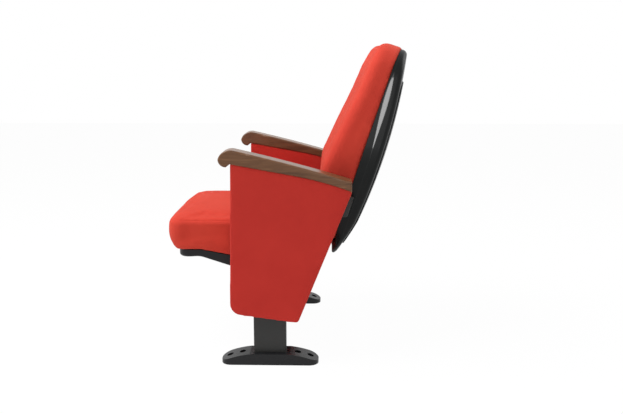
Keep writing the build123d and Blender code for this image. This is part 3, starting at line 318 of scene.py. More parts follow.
class Wire:
    """An output socket, so that shader maths is written as plain expressions."""

    def __init__(self, finish, socket):
        self.finish = finish
        self.socket = socket

    def joined(self, operation, first, second):
        return self.finish.node("ShaderNodeMath", {"operation": operation}, {0: first, 1: second})

    def __add__(self, other):
        return self.joined("ADD", self, other)

    def __radd__(self, other):
        return self.joined("ADD", other, self)

    def __sub__(self, other):
        return self.joined("SUBTRACT", self, other)

    def __rsub__(self, other):
        return self.joined("SUBTRACT", other, self)

    def __mul__(self, other):
        return self.joined("MULTIPLY", self, other)

    def __rmul__(self, other):
        return self.joined("MULTIPLY", other, self)

    def __truediv__(self, other):
        return self.joined("DIVIDE", self, other)

    def __pow__(self, other):
        return self.joined("POWER", self, other)

    def __gt__(self, other):
        return self.joined("GREATER_THAN", self, other)

    def sine(self):
        return self.joined("SINE", self, 0.0)

    def size(self):
        return self.joined("ABSOLUTE", self, 0.0)


class Finish:
    """A material under construction."""

    def __init__(self, name, **constants):
        self.material = bpy.data.materials.new(name)
        self.material.use_nodes = True
        self.tree = self.material.node_tree
        self.shader = self.tree.nodes["Principled BSDF"]
        for socket, value in constants.items():
            self.shader.inputs[socket.replace("_", " ")].default_value = value

    def node(self, kind, settings=None, sockets=None, output=0):
        """Add a node: its settings first, then the values or links of its sockets."""
        made = self.tree.nodes.new(kind)
        for setting, value in (settings or {}).items():
            if setting == "stops":
                self.set_stops(made.color_ramp, value)
            else:
                setattr(made, setting, value)
        for socket, value in (sockets or {}).items():
            if isinstance(value, Wire):
                self.tree.links.new(value.socket, made.inputs[socket])
            else:
                made.inputs[socket].default_value = value
        return Wire(self, made.outputs[output])

    def set_stops(self, ramp, stops):
        """Give a colour ramp its stops."""
        for element, (position, colour) in zip(ramp.elements, (stops[0], stops[-1])):
            element.position = position
            element.color = (*colour, 1)
        for position, colour in stops[1:-1]:
            ramp.elements.new(position).color = (*colour, 1)

    def places(self):
        """Object coordinates."""
        return self.node("ShaderNodeTexCoord", output=3)

    def facing(self):
        """The way that the surface looks."""
        return self.node("ShaderNodeTexCoord", output=1)

    def stretched(self, scale, turn=(0, 0, 0)):
        """Object coordinates, turned and then stretched."""
        return self.node("ShaderNodeMapping", {}, {0: self.places(), 2: turn, 3: scale})

    def parts(self, vector):
        """The three parts of a vector."""
        split = self.node("ShaderNodeSeparateXYZ", {}, {0: vector})
        return [Wire(self, socket) for socket in split.socket.node.outputs]

    def along(self, vector, way):
        """How far a vector reaches in a direction."""
        return self.node("ShaderNodeVectorMath", {"operation": "DOT_PRODUCT"}, {0: vector, 1: way}, output=1)

    def clamped(self, amount):
        """An amount, kept between 0 and 1."""
        return self.node("ShaderNodeClamp", {}, {0: amount})

    def speckle(self, scale, detail=2.0, rough=0.5, where=None, warp=0.0):
        """Noise between 0 and 1."""
        sockets = {0: where or self.places(), "Scale": scale, "Detail": detail, "Roughness": rough,
                   "Distortion": warp}
        return self.node("ShaderNodeTexNoise", {}, sockets)

    def coloured(self, amount, first, second):
        """A colour between two, by an amount."""
        sockets = {0: amount, 6: (*first, 1), 7: (*second, 1)}
        return self.node("ShaderNodeMix", {"data_type": "RGBA"}, sockets, output=2)

    def ramp(self, amount, *stops):
        """A colour read off a ramp."""
        return self.node("ShaderNodeValToRGB", {"stops": stops}, {0: amount})

    def relief(self, height, depth, under=None):
        """Bumps of a depth, on top of other bumps if there are any."""
        sockets = {"Height": height, "Distance": depth, "Strength": 1.0}
        if under:
            sockets["Normal"] = under
        return self.node("ShaderNodeBump", {}, sockets)

    def give(self, **links):
        """Link what varies over the surface to the shader, and hand over the material."""
        for socket, wire in links.items():
            self.tree.links.new(wire.socket, self.shader.inputs[socket.replace("_", " ")])
        return self.material


def toned(colour, factor, lift=0.0):
    """A darker or lighter tone of a colour."""
    return tuple(factor * part + lift for part in colour)


def woven_red(name, lit, deep, fuzz):
    """Flat-woven wool cloth: a basket weave of slubby yarns, laid on from the side that a face looks to."""
    cloth = Finish(name, Sheen_Weight=fuzz, Sheen_Roughness=0.45, Sheen_Tint=FUZZ_TINT,
                   Specular_IOR_Level=0.25)
    waves = [(axis * (2 * pi / YARN_PAIR)).sine() for axis in cloth.parts(cloth.places())]
    look = [part.size() ** 4.0 for part in cloth.parts(cloth.facing())]
    total = look[0] + look[1] + look[2]
    crossings = look[0] * waves[1] * waves[2] + look[1] * waves[0] * waves[2] + look[2] * waves[0] * waves[1]
    woven = crossings / total
    slub = cloth.speckle(520.0)
    patches = cloth.speckle(7.0, detail=3.0, rough=0.6)
    # The weave paints light on its raised cells and shade in its sunk ones; slub and patches mix the same two
    # colours at random
    shade = 0.30 * woven + 0.55 * slub + 0.50 * patches - 0.15
    weave = cloth.relief(woven * 0.5 + slub * 0.7, 0.30 * MM)
    soft = cloth.relief(cloth.speckle(28.0), 0.8 * MM, weave)
    return cloth.give(Base_Color=cloth.coloured(shade, deep, lit), Roughness=0.80 + 0.15 * slub, Normal=soft)


def lacquered_wood():
    """Walnut-stained beech under clear lacquer, its grain running along the arm."""
    wood = Finish("lacquered_wood", Specular_IOR_Level=0.20, Coat_Roughness=0.16)
    lie = (-ARM_SLOPE, 0, 0)
    figure = wood.speckle(1.0, detail=4.0, rough=0.55, where=wood.stretched((38.0, 3.0, 38.0), lie), warp=1.2)
    pores = wood.speckle(1.0, rough=0.6, where=wood.stretched((900.0, 38.0, 900.0), lie))
    rings = (figure * 30.0).sine() * 0.5 + 0.5
    stain = wood.ramp(0.62 * figure + 0.12 * rings + 0.26 * pores, *WALNUT_STAIN)
    worn = wood.speckle(16.0, detail=3.0)
    return wood.give(Base_Color=stain, Roughness=0.24 + 0.14 * pores, Coat_Weight=0.14 - 0.08 * worn,
                     Normal=wood.relief(pores, 0.06 * MM))


def painted_metal(name, colour, gloss, lumps, lump_depth):
    """Black paint on metal, with the lumps of the casting or the powder under it and dust in its hollows."""
    paint = Finish(name, Specular_IOR_Level=0.24)
    peel = paint.speckle(lumps, detail=3.0, rough=0.55)
    dust = paint.speckle(9.0, detail=4.0, rough=0.6)
    tone = paint.coloured(0.7 * dust * peel + 0.1, colour, toned(colour, 1.7, 0.01))
    return paint.give(Base_Color=tone, Roughness=gloss + 0.16 * dust, Normal=paint.relief(peel, lump_depth))


def moulded_plastic(name, colour, gloss, grain_depth):
    """Moulded black plastic with its fine grain and slight flow marks."""
    plastic = Finish(name, Specular_IOR_Level=0.22)
    sockets = {0: plastic.places(), "Scale": 900.0}
    grain = plastic.node("ShaderNodeTexVoronoi", {"feature": "SMOOTH_F1"}, sockets)
    flow = plastic.speckle(5.0, detail=3.0, warp=0.6)
    tone = plastic.coloured(flow, colour, toned(colour, 1.5, 0.004))
    bumps = plastic.relief(grain, grain_depth)
    return plastic.give(Base_Color=tone, Roughness=gloss + 0.10 * flow, Normal=bumps)


def polished_shell():
    """Black shell plastic, rubbed to a gloss in a long lens-shaped band down each side."""
    shell = Finish("shell_plastic", Specular_IOR_Level=0.12, Coat_Roughness=0.05, Coat_IOR=1.6)
    local = shell.node("ShaderNodeVectorMath", {"operation": "SUBTRACT"}, {0: shell.places(), 1: BACK_ORIGIN})
    run = shell.clamped((shell.along(local, BACK_UP) - BAND_LOW) / (BAND_HIGH - BAND_LOW))
    middle = BAND_DEPTH_LOW + (BAND_DEPTH_HIGH - BAND_DEPTH_LOW) * run
    # run * run * (1 - run) is 1 / 6.75 at its highest
    reach = run * run * (1.0 - run) * 6.75 * BAND_HALF + BAND_LEAST
    off_middle = (shell.along(local, BACK_AHEAD) - middle).size()
    on_side = shell.parts(local)[0].size() > BAND_ACROSS
    band = shell.clamped((1.0 - off_middle / reach) * BAND_EDGE) * on_side
    flow = shell.speckle(5.0, detail=3.0, warp=0.6)
    bumps = shell.relief(shell.speckle(700.0), 0.01 * MM)
    return shell.give(Base_Color=shell.coloured(flow, *SHELL_BLACK), Roughness=0.30 + 0.12 * flow,
                      Coat_Weight=0.01 + 0.95 * band, Normal=bumps)


def bare_metal(name, colour, gloss, scratch):
    """Zinc-plated or drawn steel with fine marks and a cloudy sheen."""
    metal = Finish(name, Metallic=1.0)
    cloud = metal.speckle(60.0, detail=3.0, rough=0.6)
    marks = metal.speckle(1.0, rough=0.6, where=metal.stretched((300.0, 2600.0, 2600.0)))
    tone = metal.coloured(0.6 * cloud + 0.3 * marks, toned(colour, 0.72), colour)
    return metal.give(Base_Color=tone, Roughness=gloss + 0.18 * cloud, Normal=metal.relief(marks, scratch))


def layered_board(name, across):
    """Birch plywood: a straight grain on its faces and the plies on its edges."""
    board = Finish(name, Specular_IOR_Level=0.3)
    plies = (board.along(board.places(), across) * (2 * pi / PLY_PAIR)).sine() > 0.0
    grain = board.speckle(1.0, detail=3.0, rough=0.6, where=board.stretched((14.0, 14.0, 220.0)), warp=0.5)
    tone = board.ramp(0.75 * grain + 0.16 * plies, *BIRCH)
    return board.give(Base_Color=tone, Roughness=0.62 + 0.15 * grain, Normal=board.relief(grain, 0.12 * MM))


def plain_foam(name, colour, cell):
    """Cut foam, rubber or moulded bush: a fine porous surface."""
    foam = Finish(name, Specular_IOR_Level=0.3)
    cells = foam.node("ShaderNodeTexVoronoi", {}, {0: foam.places(), "Scale": 1.0 / cell})
    cloud = foam.speckle(30.0, detail=3.0)
    tone = foam.coloured(0.6 * cells + 0.4 * cloud, toned(colour, 0.7), colour)
    return foam.give(Base_Color=tone, Roughness=0.7 + 0.2 * cloud, Normal=foam.relief(cells, cell / 4))


def dress_nodes(cloth, zinc):
    """Give every CAD node the finish of its slot."""
    finishes = {slot: painted_metal(*paint) for slot, paint in PAINTS.items()} | {
        "plywood": layered_board("panel_plywood", (1, 0, 0)),
        "foam": plain_foam("cut_foam", FOAM_YELLOW, cell=0.9 * MM),
        "red_fabric": cloth,
        "armrest_wood": lacquered_wood(),
        "zinc_steel": zinc,
        "steel_pin": bare_metal("ground_steel", STEEL_GREY, gloss=0.16, scratch=0.01 * MM),
        "bush_plastic": plain_foam("bush_plastic", BUSH_CREAM, cell=0.5 * MM),
        "black_rubber": plain_foam("black_rubber", RUBBER_BLACK, cell=0.5 * MM),
        "black_plastic": moulded_plastic("pan_plastic", PAN_BLACK, gloss=0.36, grain_depth=0.06 * MM),
    }
    own = {
        "back_board": layered_board("back_plywood", tuple(BACK_AHEAD)),
        "seat_board": layered_board("seat_plywood", (0, 0, 1)),
    }
    for row in frame["record"]["subparts"]:
        node = frame["nodes"][row["node"]]
        finish = own.get(row["node"], finishes[row["material_slot"]])
        for holder in node.material_slots:
            holder.link = "OBJECT"
            holder.material = finish


# Meshes

def place(name, mesh):
    """Put a mesh into the scene as a piece."""
    piece = bpy.data.objects.new(name, mesh)
    bpy.context.scene.collection.objects.link(piece)
    return piece


def drawn(name, solid):
    """Put a solid under construction into the scene as a piece."""
    mesh = bpy.data.meshes.new(name)
    solid.to_mesh(mesh)
    solid.free()
    return place(name, mesh)


def worked_out(piece):
    """Turn a piece's modifiers into a plain mesh and drop them."""
    graph = bpy.context.evaluated_depsgraph_get()
    mesh = bpy.data.meshes.new_from_object(piece.evaluated_get(graph), depsgraph=graph)
    piece.modifiers.clear()
    piece.data = mesh


def merged_copy(name, node):
    """A copy of a CAD solid with its loose triangles joined."""
    solid = bmesh.new()
    solid.from_mesh(frame["nodes"][node].data)
    bmesh.ops.remove_doubles(solid, verts=solid.verts, dist=0.01 * MM)
    piece = drawn(name, solid)
    if "custom_normal" in piece.data.attributes:
        piece.data.attributes.remove(piece.data.attributes["custom_normal"])
    piece.data.materials.clear()
    return piece


def dressed(piece, body, slot, finish, *nodes, fill=None):
    """Give a piece its finish, hang it on its body and hide the CAD nodes that it stands in for."""
    piece.data.materials.clear()
    piece.data.materials.append(finish)
    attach(piece, body)
    if nodes:
        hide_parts(*nodes)


def looked_up(points):
    """A tree that finds the nearest of the points of a flat outline."""
    tree = KDTree(len(points))
    for index, point in enumerate(points):
        tree.insert((point.x, point.y, 0), index)
    tree.balance()
    return tree


def rounded_outline(corners, step):
    """Points about a step apart along a closed outline, counter-clockwise, its corners rounded."""
    bends = []
    for index, (x, y, radius) in enumerate(corners):
        corner = Vector((x, y))
        back = (Vector(corners[index - 1][:2]) - corner).normalized()
        ahead = (Vector(corners[(index + 1) % len(corners)][:2]) - corner).normalized()
        half = back.angle(ahead) / 2
        centre = corner + (back + ahead).normalized() * radius / sin(half)
        start = corner + back * radius / tan(half)
        turn = pi - 2 * half
        count = max(2, int(radius * turn / step) + 1)
        arm = start - centre
        bends.append([centre + Matrix.Rotation(turn * i / count, 2) @ arm for i in range(count + 1)])
    points = []
    for index, bend in enumerate(bends):
        points += bend
        gap = bends[(index + 1) % len(bends)][0] - bend[-1]
        count = max(1, int(gap.length / step))
        points += [bend[-1] + gap * i / count for i in range(1, count)]
    return points


# Padding

class Chart:
    """A pad's outline and face in its own directions, to find its seams and edges."""

    def __init__(self, corners, origin, axes, face):
        self.outline = rounded_outline(corners, 2 * MM)
        self.origin = origin
        self.axes = axes
        self.face = face
        self.tree = looked_up(self.outline)
        self.runs = [0.0]
        for index, point in enumerate(self.outline):
            self.runs.append(self.runs[-1] + (self.outline[index - 1] - point).length)

    def read(self, point):
        """How far a point is in from the outline and below the face, and where along the outline it lies."""
        across, up, out = (axis.dot(point - self.origin) for axis in self.axes)
        index, inset = self.tree.find((across, up, 0))[1:]
        return inset, self.face(across, up) - out, self.runs[index]

    def line(self, inset, drop):
        """The points of a line round the pad, in from its outline and below its face."""
        points = []
        for index, point in enumerate(self.outline):
            way = self.outline[(index + 1) % len(self.outline)] - self.outline[index - 1]
            spot = point + Vector((-way.y, way.x)).normalized() * inset
            height = self.face(spot.x, spot.y) - drop
            points.append(self.origin + self.axes[0] * spot.x + self.axes[1] * spot.y + self.axes[2] * height)
        return points


def swollen(piece, held):
    """Where the points of a pad's net go as the filling presses them out, save for the held points."""
    group = piece.vertex_groups.new(name="held")
    group.add([vertex.index for vertex in piece.data.vertices if held(vertex.co)], 1.0, "REPLACE")
    filling = piece.modifiers.new("filling", "CLOTH")
    for setting, value in FABRIC.items():
        setattr(filling.settings, setting, value)
    filling.settings.vertex_group_mass = "held"
    filling.settings.effector_weights.gravity = 0
    filling.collision_settings.use_collision = False
    for number in range(1, SWELLING_FRAMES + 1):
        bpy.context.scene.frame_set(number)
    graph = bpy.context.evaluated_depsgraph_get()
    moved = [vertex.co.copy() for vertex in piece.evaluated_get(graph).data.vertices]
    piece.modifiers.clear()
    piece.vertex_groups.clear()
    bpy.context.scene.frame_set(1)
    return moved


def padded_skin(piece, voxel, held, limit, evening):
    """Lay an even net of points over a pad, and let it swell under its filling up to a limit at each point."""
    net = piece.modifiers.new("net", "REMESH")
    net.mode = "VOXEL"
    net.voxel_size = voxel
    worked_out(piece)
    mesh = piece.data
    rest = [vertex.co.copy() for vertex in mesh.vertices]
    outward = [Vector(item.vector) for item in mesh.vertex_normals]
    moved = swollen(piece, held)
    for vertex, start, end, normal in zip(mesh.vertices, rest, moved, outward):
        way = end - start
        reach = limit(start) if way.dot(normal) > 0 else SLACK
        if way.length > 0:
            vertex.co = start + way.normalized() * reach * (1 - exp(-way.length / reach))
    store = mesh.attributes.new("rest", "FLOAT_VECTOR", "POINT")
    store.data.foreach_set("vector", [part for point in rest for part in point])
    smooth = piece.modifiers.new("even", "SMOOTH")
    smooth.factor = 0.5
    smooth.iterations = evening
    finer = piece.modifiers.new("finer", "SUBSURF")
    finer.levels = 1
    finer.render_levels = 1
    worked_out(piece)
    piece.data.shade_smooth()


def sew(piece, rise):
    """Move a pad's fabric out or in along its normals, by a rule on where each point lay before it swelled."""
    mesh = piece.data
    rest = [Vector(item.vector) for item in mesh.attributes["rest"].data]
    normals = [Vector(item.vector) for item in mesh.vertex_normals]
    for vertex, start, normal in zip(mesh.vertices, rest, normals):
        vertex.co += normal * rise(start)
    mesh.attributes.remove(mesh.attributes["rest"])


def clipped(value):
    """A value, kept between 0 and 1."""
    return min(1, max(0, value))


def share(value, start, end):
    """How far a value has come from a start to an end, easing in and out, from 0 to 1."""
    part = clipped((value - start) / (end - start))
    return part * part * (3 - 2 * part)


def lumps(point, a_metre, height):
    """Soft unevenness of the filling, so many lumps a metre and of a height in millimetres."""
    return noise.noise(point * a_metre) * height * MM


def from_pivot(point):
    """Distance of a point from the hinge line."""
    return hypot(point.y - PIVOT.y, point.z - PIVOT.z)


def on_rounding(radius, angle):
    """How far in from the outline and below the face the foam's rounded edge lies at an angle."""
    return radius - (radius - COVER) * cos(angle), radius - (radius - COVER) * sin(angle)


def seam_fold(inset, drop, run, rounding, depth, seed):
    """Rise of the fabric beside a seam: a groove, a soft swell next to it and small gathers along it."""
    seam = on_rounding(rounding, SEAM_ANGLE)[0]
    distance = hypot(inset - seam, drop - seam)
    groove = -exp(-(distance / GROOVE_WIDTH) ** 2)
    swell = SWELL_HEIGHT * exp(-(((distance - SWELL_PLACE) / SWELL_WIDTH) ** 2))
    gather = noise.noise(Vector((run * GATHERS_A_METRE, seed, 0))) * GATHER_HEIGHT
    return depth * (groove + swell + gather * exp(-distance / GATHER_REACH))


# Stitching

def stitch_tree():
    """Small threads laid end to end along a line."""
    tree = bpy.data.node_groups.new("stitching", "GeometryNodeTree")
    wanted = {"Line": "Geometry", "Spacing": "Float", "Thread": "Float", "Length": "Float",
              "Finish": "Material"}
    for name, kind in wanted.items():
        tree.interface.new_socket(name, in_out="INPUT", socket_type="NodeSocket" + kind)
    tree.interface.new_socket("Stitches", in_out="OUTPUT", socket_type="NodeSocketGeometry")
    given = tree.nodes.new("NodeGroupInput").outputs
    result = tree.nodes.new("NodeGroupOutput")

    def add(kind, sockets, **settings):
        made = tree.nodes.new(kind)
        for setting, value in settings.items():
            setattr(made, setting, value)
        for socket, value in sockets.items():
            if isinstance(value, bpy.types.NodeSocket):
                tree.links.new(value, made.inputs[socket])
            else:
                made.inputs[socket].default_value = value
        return made.outputs

    line = add("GeometryNodeMeshToCurve", {"Mesh": given["Line"]})
    spots = add("GeometryNodeCurveToPoints", {"Curve": line[0], "Length": given["Spacing"]}, mode="LENGTH")
    bead = add("GeometryNodeMeshUVSphere", {"Segments": 6, "Rings": 5, "Radius": 0.5})
    size = add("ShaderNodeCombineXYZ", {0: given["Thread"], 1: given["Thread"], 2: given["Length"]})
    thread = add("GeometryNodeTransform", {"Geometry": bead[0], "Scale": size[0]})
    laid = add("GeometryNodeInstanceOnPoints",
               {"Points": spots[0], "Instance": thread[0], "Rotation": spots["Rotation"]})
    real = add("GeometryNodeRealizeInstances", {0: laid[0]})
    dyed = add("GeometryNodeSetMaterial", {"Geometry": real[0], "Material": given["Finish"]})
    tree.links.new(dyed[0], result.inputs[0])
    return tree


def stitch(name, pad, points, body, tree, thread):
    """A row of stitches on a pad's surface along a closed line."""
    faces = [list(face.vertices) for face in pad.data.polygons]
    surface = BVHTree.FromPolygons([vertex.co for vertex in pad.data.vertices], faces)
    laid = []
    for point in points:
        spot, normal = surface.find_nearest(point)[:2]
        laid.append(spot + normal * STITCH_LIFT * MM)
    mesh = bpy.data.meshes.new(name)
    mesh.from_pydata(laid, [(index, (index + 1) % len(laid)) for index in range(len(laid))], [])
    row = place(name, mesh)
    sewing = row.modifiers.new("stitches", "NODES")
    sewing.node_group = tree
    values = {"Spacing": STITCH_SPACING, "Thread": THREAD_WIDTH, "Length": STITCH_LENGTH, "Finish": thread}
    for item in tree.interface.items_tree:
        if item.name in values:
            sewing[item.identifier] = values[item.name]
    worked_out(row)
    row.data.shade_smooth()
    dressed(row, body, "red_fabric", thread)


# Cushions and shell

def make_seat_cushion(cloth, tree, thread):
    """The seat cushion: crowned, boxed at the shoulder and rolled over at the front."""
    corners = ((-SEAT_HALF, SEAT_FRONT, SEAT_FRONT_CORNER), (SEAT_HALF, SEAT_FRONT, SEAT_FRONT_CORNER),
               (SEAT_HALF, SEAT_REAR, SEAT_REAR_CORNER), (-SEAT_HALF, SEAT_REAR, SEAT_REAR_CORNER))
    axes = (Vector((1, 0, 0)), Vector((0, 1, 0)), Vector((0, 0, 1)))

    def crown(x, y):
        return SEAT_TOP - SEAT_CROWN_RADIUS + sqrt(SEAT_CROWN_RADIUS**2 - x * x)

    chart = Chart(corners, Vector((0, 0, 0)), axes, crown)
    (front, high), (rear, low) = SEAT_EDGE_FRONT, SEAT_EDGE_REAR

    def edge(y):
        """Height of the cushion's lower edge."""
        return high + (low - high) * clipped((y - front) / (rear - front))

    def in_pocket(point):
        return abs(point.x) < POCKET_HALF and POCKET_FRONT < point.y < POCKET_REAR and point.z < POCKET_TOP

    def held(point):
        at_drum = from_pivot(point) < DRUM_RADIUS and abs(point.x) > DRUM_START
        return in_pocket(point) or at_drum or point.z < edge(point.y) + SEAT_HEM

    def limit(point):
        drop = chart.read(point)[1]
        lost_low = SEAT_SWELL_LOST_LOW - SEAT_SWELL_KEPT_AT_NOSE * share(point.y, *SEAT_NOSE)
        lost_rear = SEAT_SWELL_LOST_REAR * share(point.y, *SEAT_REAR_FADE)
        return (SEAT_SWELL - lost_low * share(drop, 0, SIDE_DEPTH)) * MM * (1 - lost_rear)

    def rise(point):
        if in_pocket(point):
            return 0.0
        inset, drop, run = chart.read(point)
        height = (point.z - edge(point.y)) / (SEAT_TOP - edge(point.y))
        plump = (NOSE_PLUMP * clipped((NOSE_START - point.y) / NOSE_RUN) * sin(pi * clipped(height))
                 + TOP_PLUMP * max(0, 1 - drop / TOP_PLUMP_DEPTH) * min(1, inset / TOP_PLUMP_RUN))
        uneven = 0.0 if height < SEAT_EVEN_BELOW else lumps(point, SEAT_LUMPS_A_METRE, SEAT_LUMP_HEIGHT)
        return plump + uneven + seam_fold(inset, drop, run, SEAT_ROUNDING, SEAT_SEAM_DEPTH, SEAT_SEAM_SEED)

    piece = merged_copy("seat_cushion", "seat_foam")
    padded_skin(piece, SEAT_NET, held, limit, CUSHION_EVENING)
    sew(piece, rise)
    dressed(piece, "seat", "red_fabric", cloth, "seat_foam", "seat_cover", fill=CUSHION_FILL)
    row = chart.line(*on_rounding(SEAT_ROUNDING, SEAT_STITCH_ANGLE))
    stitch("seat_stitching", piece, row, "seat", tree, thread)


def make_back_cushion(cloth, tree, thread):
    """The back cushion: hollow across, with a lumbar swell and deep rounded edges."""
    def profile(level):
        for (low, near), (high, far) in zip(BACK_PROFILE, BACK_PROFILE[1:]):
            if level <= high:
                return near + (far - near) * share(level, low, high)
        return BACK_PROFILE[-1][1]

    def face(across, level):
        return FRONT_RADIUS - sqrt((FRONT_RADIUS - profile(level)) ** 2 - across * across)

    chart = Chart(BACK_CORNERS, BACK_ORIGIN, (Vector((1, 0, 0)), BACK_UP, BACK_AHEAD), face)

    def ahead_of_mouth(point):
        """How far a point is ahead of the mouth of the shell."""
        local = point - BACK_ORIGIN
        return BACK_AHEAD.dot(local) - (MOUTH_CENTRE - sqrt(MOUTH_RADIUS**2 - local.x**2))

    def held(point):
        return ahead_of_mouth(point) < BACK_HELD

    def limit(point):
        drop = chart.read(point)[1]
        return (BACK_SWELL - BACK_SWELL_LOST_LOW * share(drop, 0, SIDE_DEPTH)) * MM

    def rise(point):
        if ahead_of_mouth(point) < BACK_SEWN:
            return 0.0
        inset, drop, run = chart.read(point)
        level = BACK_UP.dot(point - BACK_ORIGIN)
        folds = noise.noise(Vector((level * FOLDS_A_METRE, point.x * FOLD_SLANT, FOLD_SEED))) * FOLD_HEIGHT * MM
        low_side = (exp(-((level + FOLD_LEVEL) / FOLD_SPREAD) ** 2) * exp(-inset / FOLD_REACH)
                    * min(1, drop / FOLD_START))
        uneven = lumps(point, BACK_LUMPS_A_METRE, BACK_LUMP_HEIGHT)
        seam = seam_fold(inset, drop, run, BACK_ROUNDING, BACK_SEAM_DEPTH, BACK_SEAM_SEED)
        return uneven + folds * low_side + seam

    piece = merged_copy("back_cushion", "back_foam")
    padded_skin(piece, BACK_NET, held, limit, CUSHION_EVENING)
    sew(piece, rise)
    dressed(piece, "stand", "red_fabric", cloth, "back_foam", "back_cover", fill=CUSHION_FILL)
    row = chart.line(*on_rounding(BACK_ROUNDING, BACK_STITCH_ANGLE))
    stitch("back_stitching", piece, row, "stand", tree, thread)


def make_back_shell():
    """The back shell, its rear wall drawn down and forward into the tail below the cushion."""
    piece = merged_copy("back_shell_moulding", "back_shell")
    for vertex in piece.data.vertices:
        local = vertex.co - BACK_ORIGIN
        down = clipped((TAIL_LEVEL - BACK_UP.dot(local)) / TAIL_LENGTH)
        deep = clipped((-BACK_AHEAD.dot(local) - TAIL_LIP) / TAIL_DEPTH)
        vertex.co += TAIL_REACH * down**TAIL_CURVE_DOWN * deep**TAIL_CURVE_IN
    piece.data.shade_smooth()
    piece.data.set_sharp_from_angle(angle=radians(SHELL_EDGE_ANGLE))
    dressed(piece, "stand", "black_plastic", polished_shell(), "back_shell")


# Side panels

def arm_underside(y):
    """Height of an armrest's underside: straight over the column, then an arc down to the rear."""
    straight = ARM_HEIGHT - tan(ARM_SLOPE) * min(y, ARM_BEND)
    if y <= ARM_BEND:
        return straight
    centre_y = ARM_BEND - ARM_ARC * sin(ARM_SLOPE)
    return straight - ARM_ARC * cos(ARM_SLOPE) + sqrt(ARM_ARC**2 - (y - centre_y) ** 2)


def panel_outline():
    """Outline of a side panel up to the armrest, as points along it."""
    def front_at(height):
        return PANEL_FRONT[0] + (height - PANEL_FRONT[1]) * tan(PANEL_FRONT_LEAN)

    def rear_at(height):
        return PANEL_REAR[0] + (height - PANEL_REAR[1]) * tan(PANEL_REAR_LEAN)

    def under_arm(edge):
        """Where an edge meets the armrest, found by going to and fro between the two."""
        y = 0.0
        for _ in range(MEETING_ROUNDS):
            y = edge(arm_underside(y))
        return y

    corners = ((front_at(PANEL_ABOVE_ARM), PANEL_ABOVE_ARM, MM), (*PANEL_FRONT, PANEL_FRONT_CORNER),
               (*PANEL_REAR, PANEL_REAR_CORNER), (rear_at(PANEL_ABOVE_ARM), PANEL_ABOVE_ARM, MM))
    points = [point for point in rounded_outline(corners, PANEL_STEP)
              if point.y < arm_underside(point.x) - PANEL_CLEAR]
    front, rear = under_arm(front_at), under_arm(rear_at)
    count = int((rear - front) / PANEL_STEP)
    for i in range(count + 1):
        y = rear + (front - rear) * i / count
        points.append(Vector((y, arm_underside(y) + PANEL_TUCK)))
    return points


def panel_block(name, outline, sign):
    """A plain block with the outline of a side panel."""
    solid = bmesh.new()
    rings = [[solid.verts.new((sign * (PANEL_MIDDLE + half), point.x, point.y)) for point in outline]
             for half in (-PANEL_HALF, PANEL_HALF)]
    for ring in rings:
        solid.faces.new(ring)
    for index in range(len(outline)):
        ahead = (index + 1) % len(outline)
        solid.faces.new((rings[0][index], rings[0][ahead], rings[1][ahead], rings[1][index]))
    bmesh.ops.recalc_face_normals(solid, faces=solid.faces)
    if solid.calc_volume(signed=True) < 0:
        bmesh.ops.reverse_faces(solid, faces=solid.faces)
    return drawn(name, solid)


def open_for_boss(piece, inner):
    """Cut the round opening of the hinge boss into the inner face of a side panel."""
    drill = bmesh.new()
    turned = Matrix.Translation((inner, PIVOT.y, PIVOT.z)) @ Matrix.Rotation(pi / 2, 4, "Y")
    bmesh.ops.create_cone(drill, cap_ends=True, segments=BOSS_FACETS, radius1=BOSS_RADIUS, radius2=BOSS_RADIUS,
                          depth=BOSS_DEPTH, matrix=turned)
    cutter = drawn("boss_drill", drill)
    opening = piece.modifiers.new("opening", "BOOLEAN")
    opening.operation = "DIFFERENCE"
    opening.object = cutter
    worked_out(piece)
    bpy.data.objects.remove(cutter)


def make_side_cover(side, sign, cloth):
    """The padded cover of a standard: a slim panel, open for the hinge boss and gathered under the arm."""
    outline = panel_outline()
    piece = panel_block(side + "_side_panel", outline, sign)
    open_for_boss(piece, sign * (PANEL_MIDDLE - PANEL_HALF))
    tree = looked_up(outline)

    def inset(point):
        return tree.find((point.y, point.z, 0))[2]

    def held(point):
        at_boss = from_pivot(point) < BOSS_RADIUS + BOSS_HEM and abs(point.x) < PANEL_MIDDLE - BOSS_REACH
        return at_boss or inset(point) < PANEL_EDGE_HELD

    def limit(point):
        return PANEL_SWELL

    def rise(point):
        under = arm_underside(point.y) - point.z
        along = Vector((point.y * ARM_GATHERS_A_METRE, ARM_GATHER_SEED * sign, point.x * ARM_GATHER_SLANT))
        gather = noise.noise(along) * ARM_GATHER_HEIGHT * MM * exp(-under / ARM_GATHER_REACH)
        uneven = lumps(point, PANEL_LUMPS_A_METRE, PANEL_LUMP_HEIGHT) * min(1, inset(point) / PANEL_LUMP_START)
        return PANEL_PADDING + uneven + gather * min(1, under / ARM_GATHER_START)

    padded_skin(piece, PANEL_NET, held, limit, PANEL_EVENING)
    sew(piece, rise)
    dressed(piece, "stand", "red_fabric", cloth, side + "_side_cover", fill=1.0)


# Return springs, in the pose of the CAD model; the real ones twist as the seat tips

def make_spring(side, zinc):
    """A return spring, one end at the standard and the other at the seat's lever, as a smooth copy of the CAD
    coil in its place.
    """
    piece = merged_copy(side + "_spring_coil", side + "_return_spring")
    piece.data.shade_smooth()
    piece.data.materials.append(zinc)
    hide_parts(side + "_return_spring")
    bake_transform(piece)


# Floor and surroundings

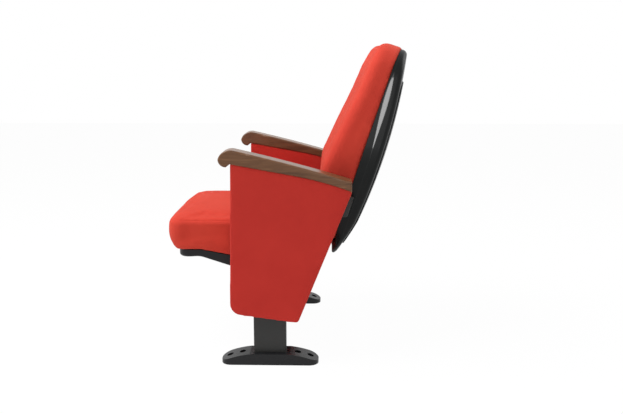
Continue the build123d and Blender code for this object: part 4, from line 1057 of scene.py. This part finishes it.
def lay_floor():
    """A pale floor that shows white to the camera but keeps the shadow of the object."""
    corners = [(x * FLOOR_HALF, y * FLOOR_HALF, 0) for x, y in ((-1, -1), (1, -1), (1, 1), (-1, 1))]
    mesh = bpy.data.meshes.new("floor")
    mesh.from_pydata(corners, [], [(0, 1, 2, 3)])
    floor = place("floor", mesh)
    pale = Finish("pale_floor", Base_Color=FLOOR_GREY, Roughness=0.9)
    paths = pale.node("ShaderNodeLightPath")
    seen = paths + Wire(pale, paths.socket.node.outputs["Is Glossy Ray"])
    glow = pale.node("ShaderNodeEmission", {}, {0: WHITE, 1: 1.0})
    bare = Wire(pale, pale.shader.outputs[0])
    shown = pale.node("ShaderNodeMixShader", {}, {0: seen * FLOOR_WHITENED, 1: bare, 2: glow})
    pale.tree.links.new(shown.socket, pale.tree.nodes["Material Output"].inputs[0])
    mesh.materials.append(pale.material)


def light_world():
    """White surroundings for the camera and for reflections, dimmer as a light."""
    world = bpy.data.worlds.new("studio")
    bpy.context.scene.world = world
    world.use_nodes = True
    tree = world.node_tree
    paths = tree.nodes.new("ShaderNodeLightPath")
    seen = tree.nodes.new("ShaderNodeMath")
    seen.operation = "MAXIMUM"
    tree.links.new(paths.outputs["Is Camera Ray"], seen.inputs[0])
    tree.links.new(paths.outputs["Is Glossy Ray"], seen.inputs[1])
    level = tree.nodes.new("ShaderNodeMapRange")
    tree.links.new(seen.outputs[0], level.inputs[0])
    level.inputs["To Min"].default_value = WORLD_LIGHT
    level.inputs["To Max"].default_value = 1.0
    background = tree.nodes["Background"]
    background.inputs[0].default_value = WHITE
    tree.links.new(level.outputs[0], background.inputs[1])


set_camera()
light_world()
for lamp in LAMPS:
    hang_lamp(*lamp)
lay_floor()

cushion_cloth = woven_red("red_cloth", *CUSHION_RED)
# A darker copy of the cushion cloth, painted shade, for the side panels
panel_cloth_shaded = woven_red("panel_cloth_shaded", *PANEL_RED_SHADED)
thread = woven_red("red_thread", *THREAD_RED)
zinc = bare_metal("zinc_plate", ZINC_GREY, gloss=0.30, scratch=0.02 * MM)
dress_nodes(cushion_cloth, zinc)
tree = stitch_tree()
make_seat_cushion(cushion_cloth, tree, thread)
make_back_cushion(cushion_cloth, tree, thread)
make_back_shell()
for side, sign in SIDES.items():
    make_side_cover(side, sign, panel_cloth_shaded)
    make_spring(side, zinc)

bpy.context.scene.view_settings.view_transform = "Standard"
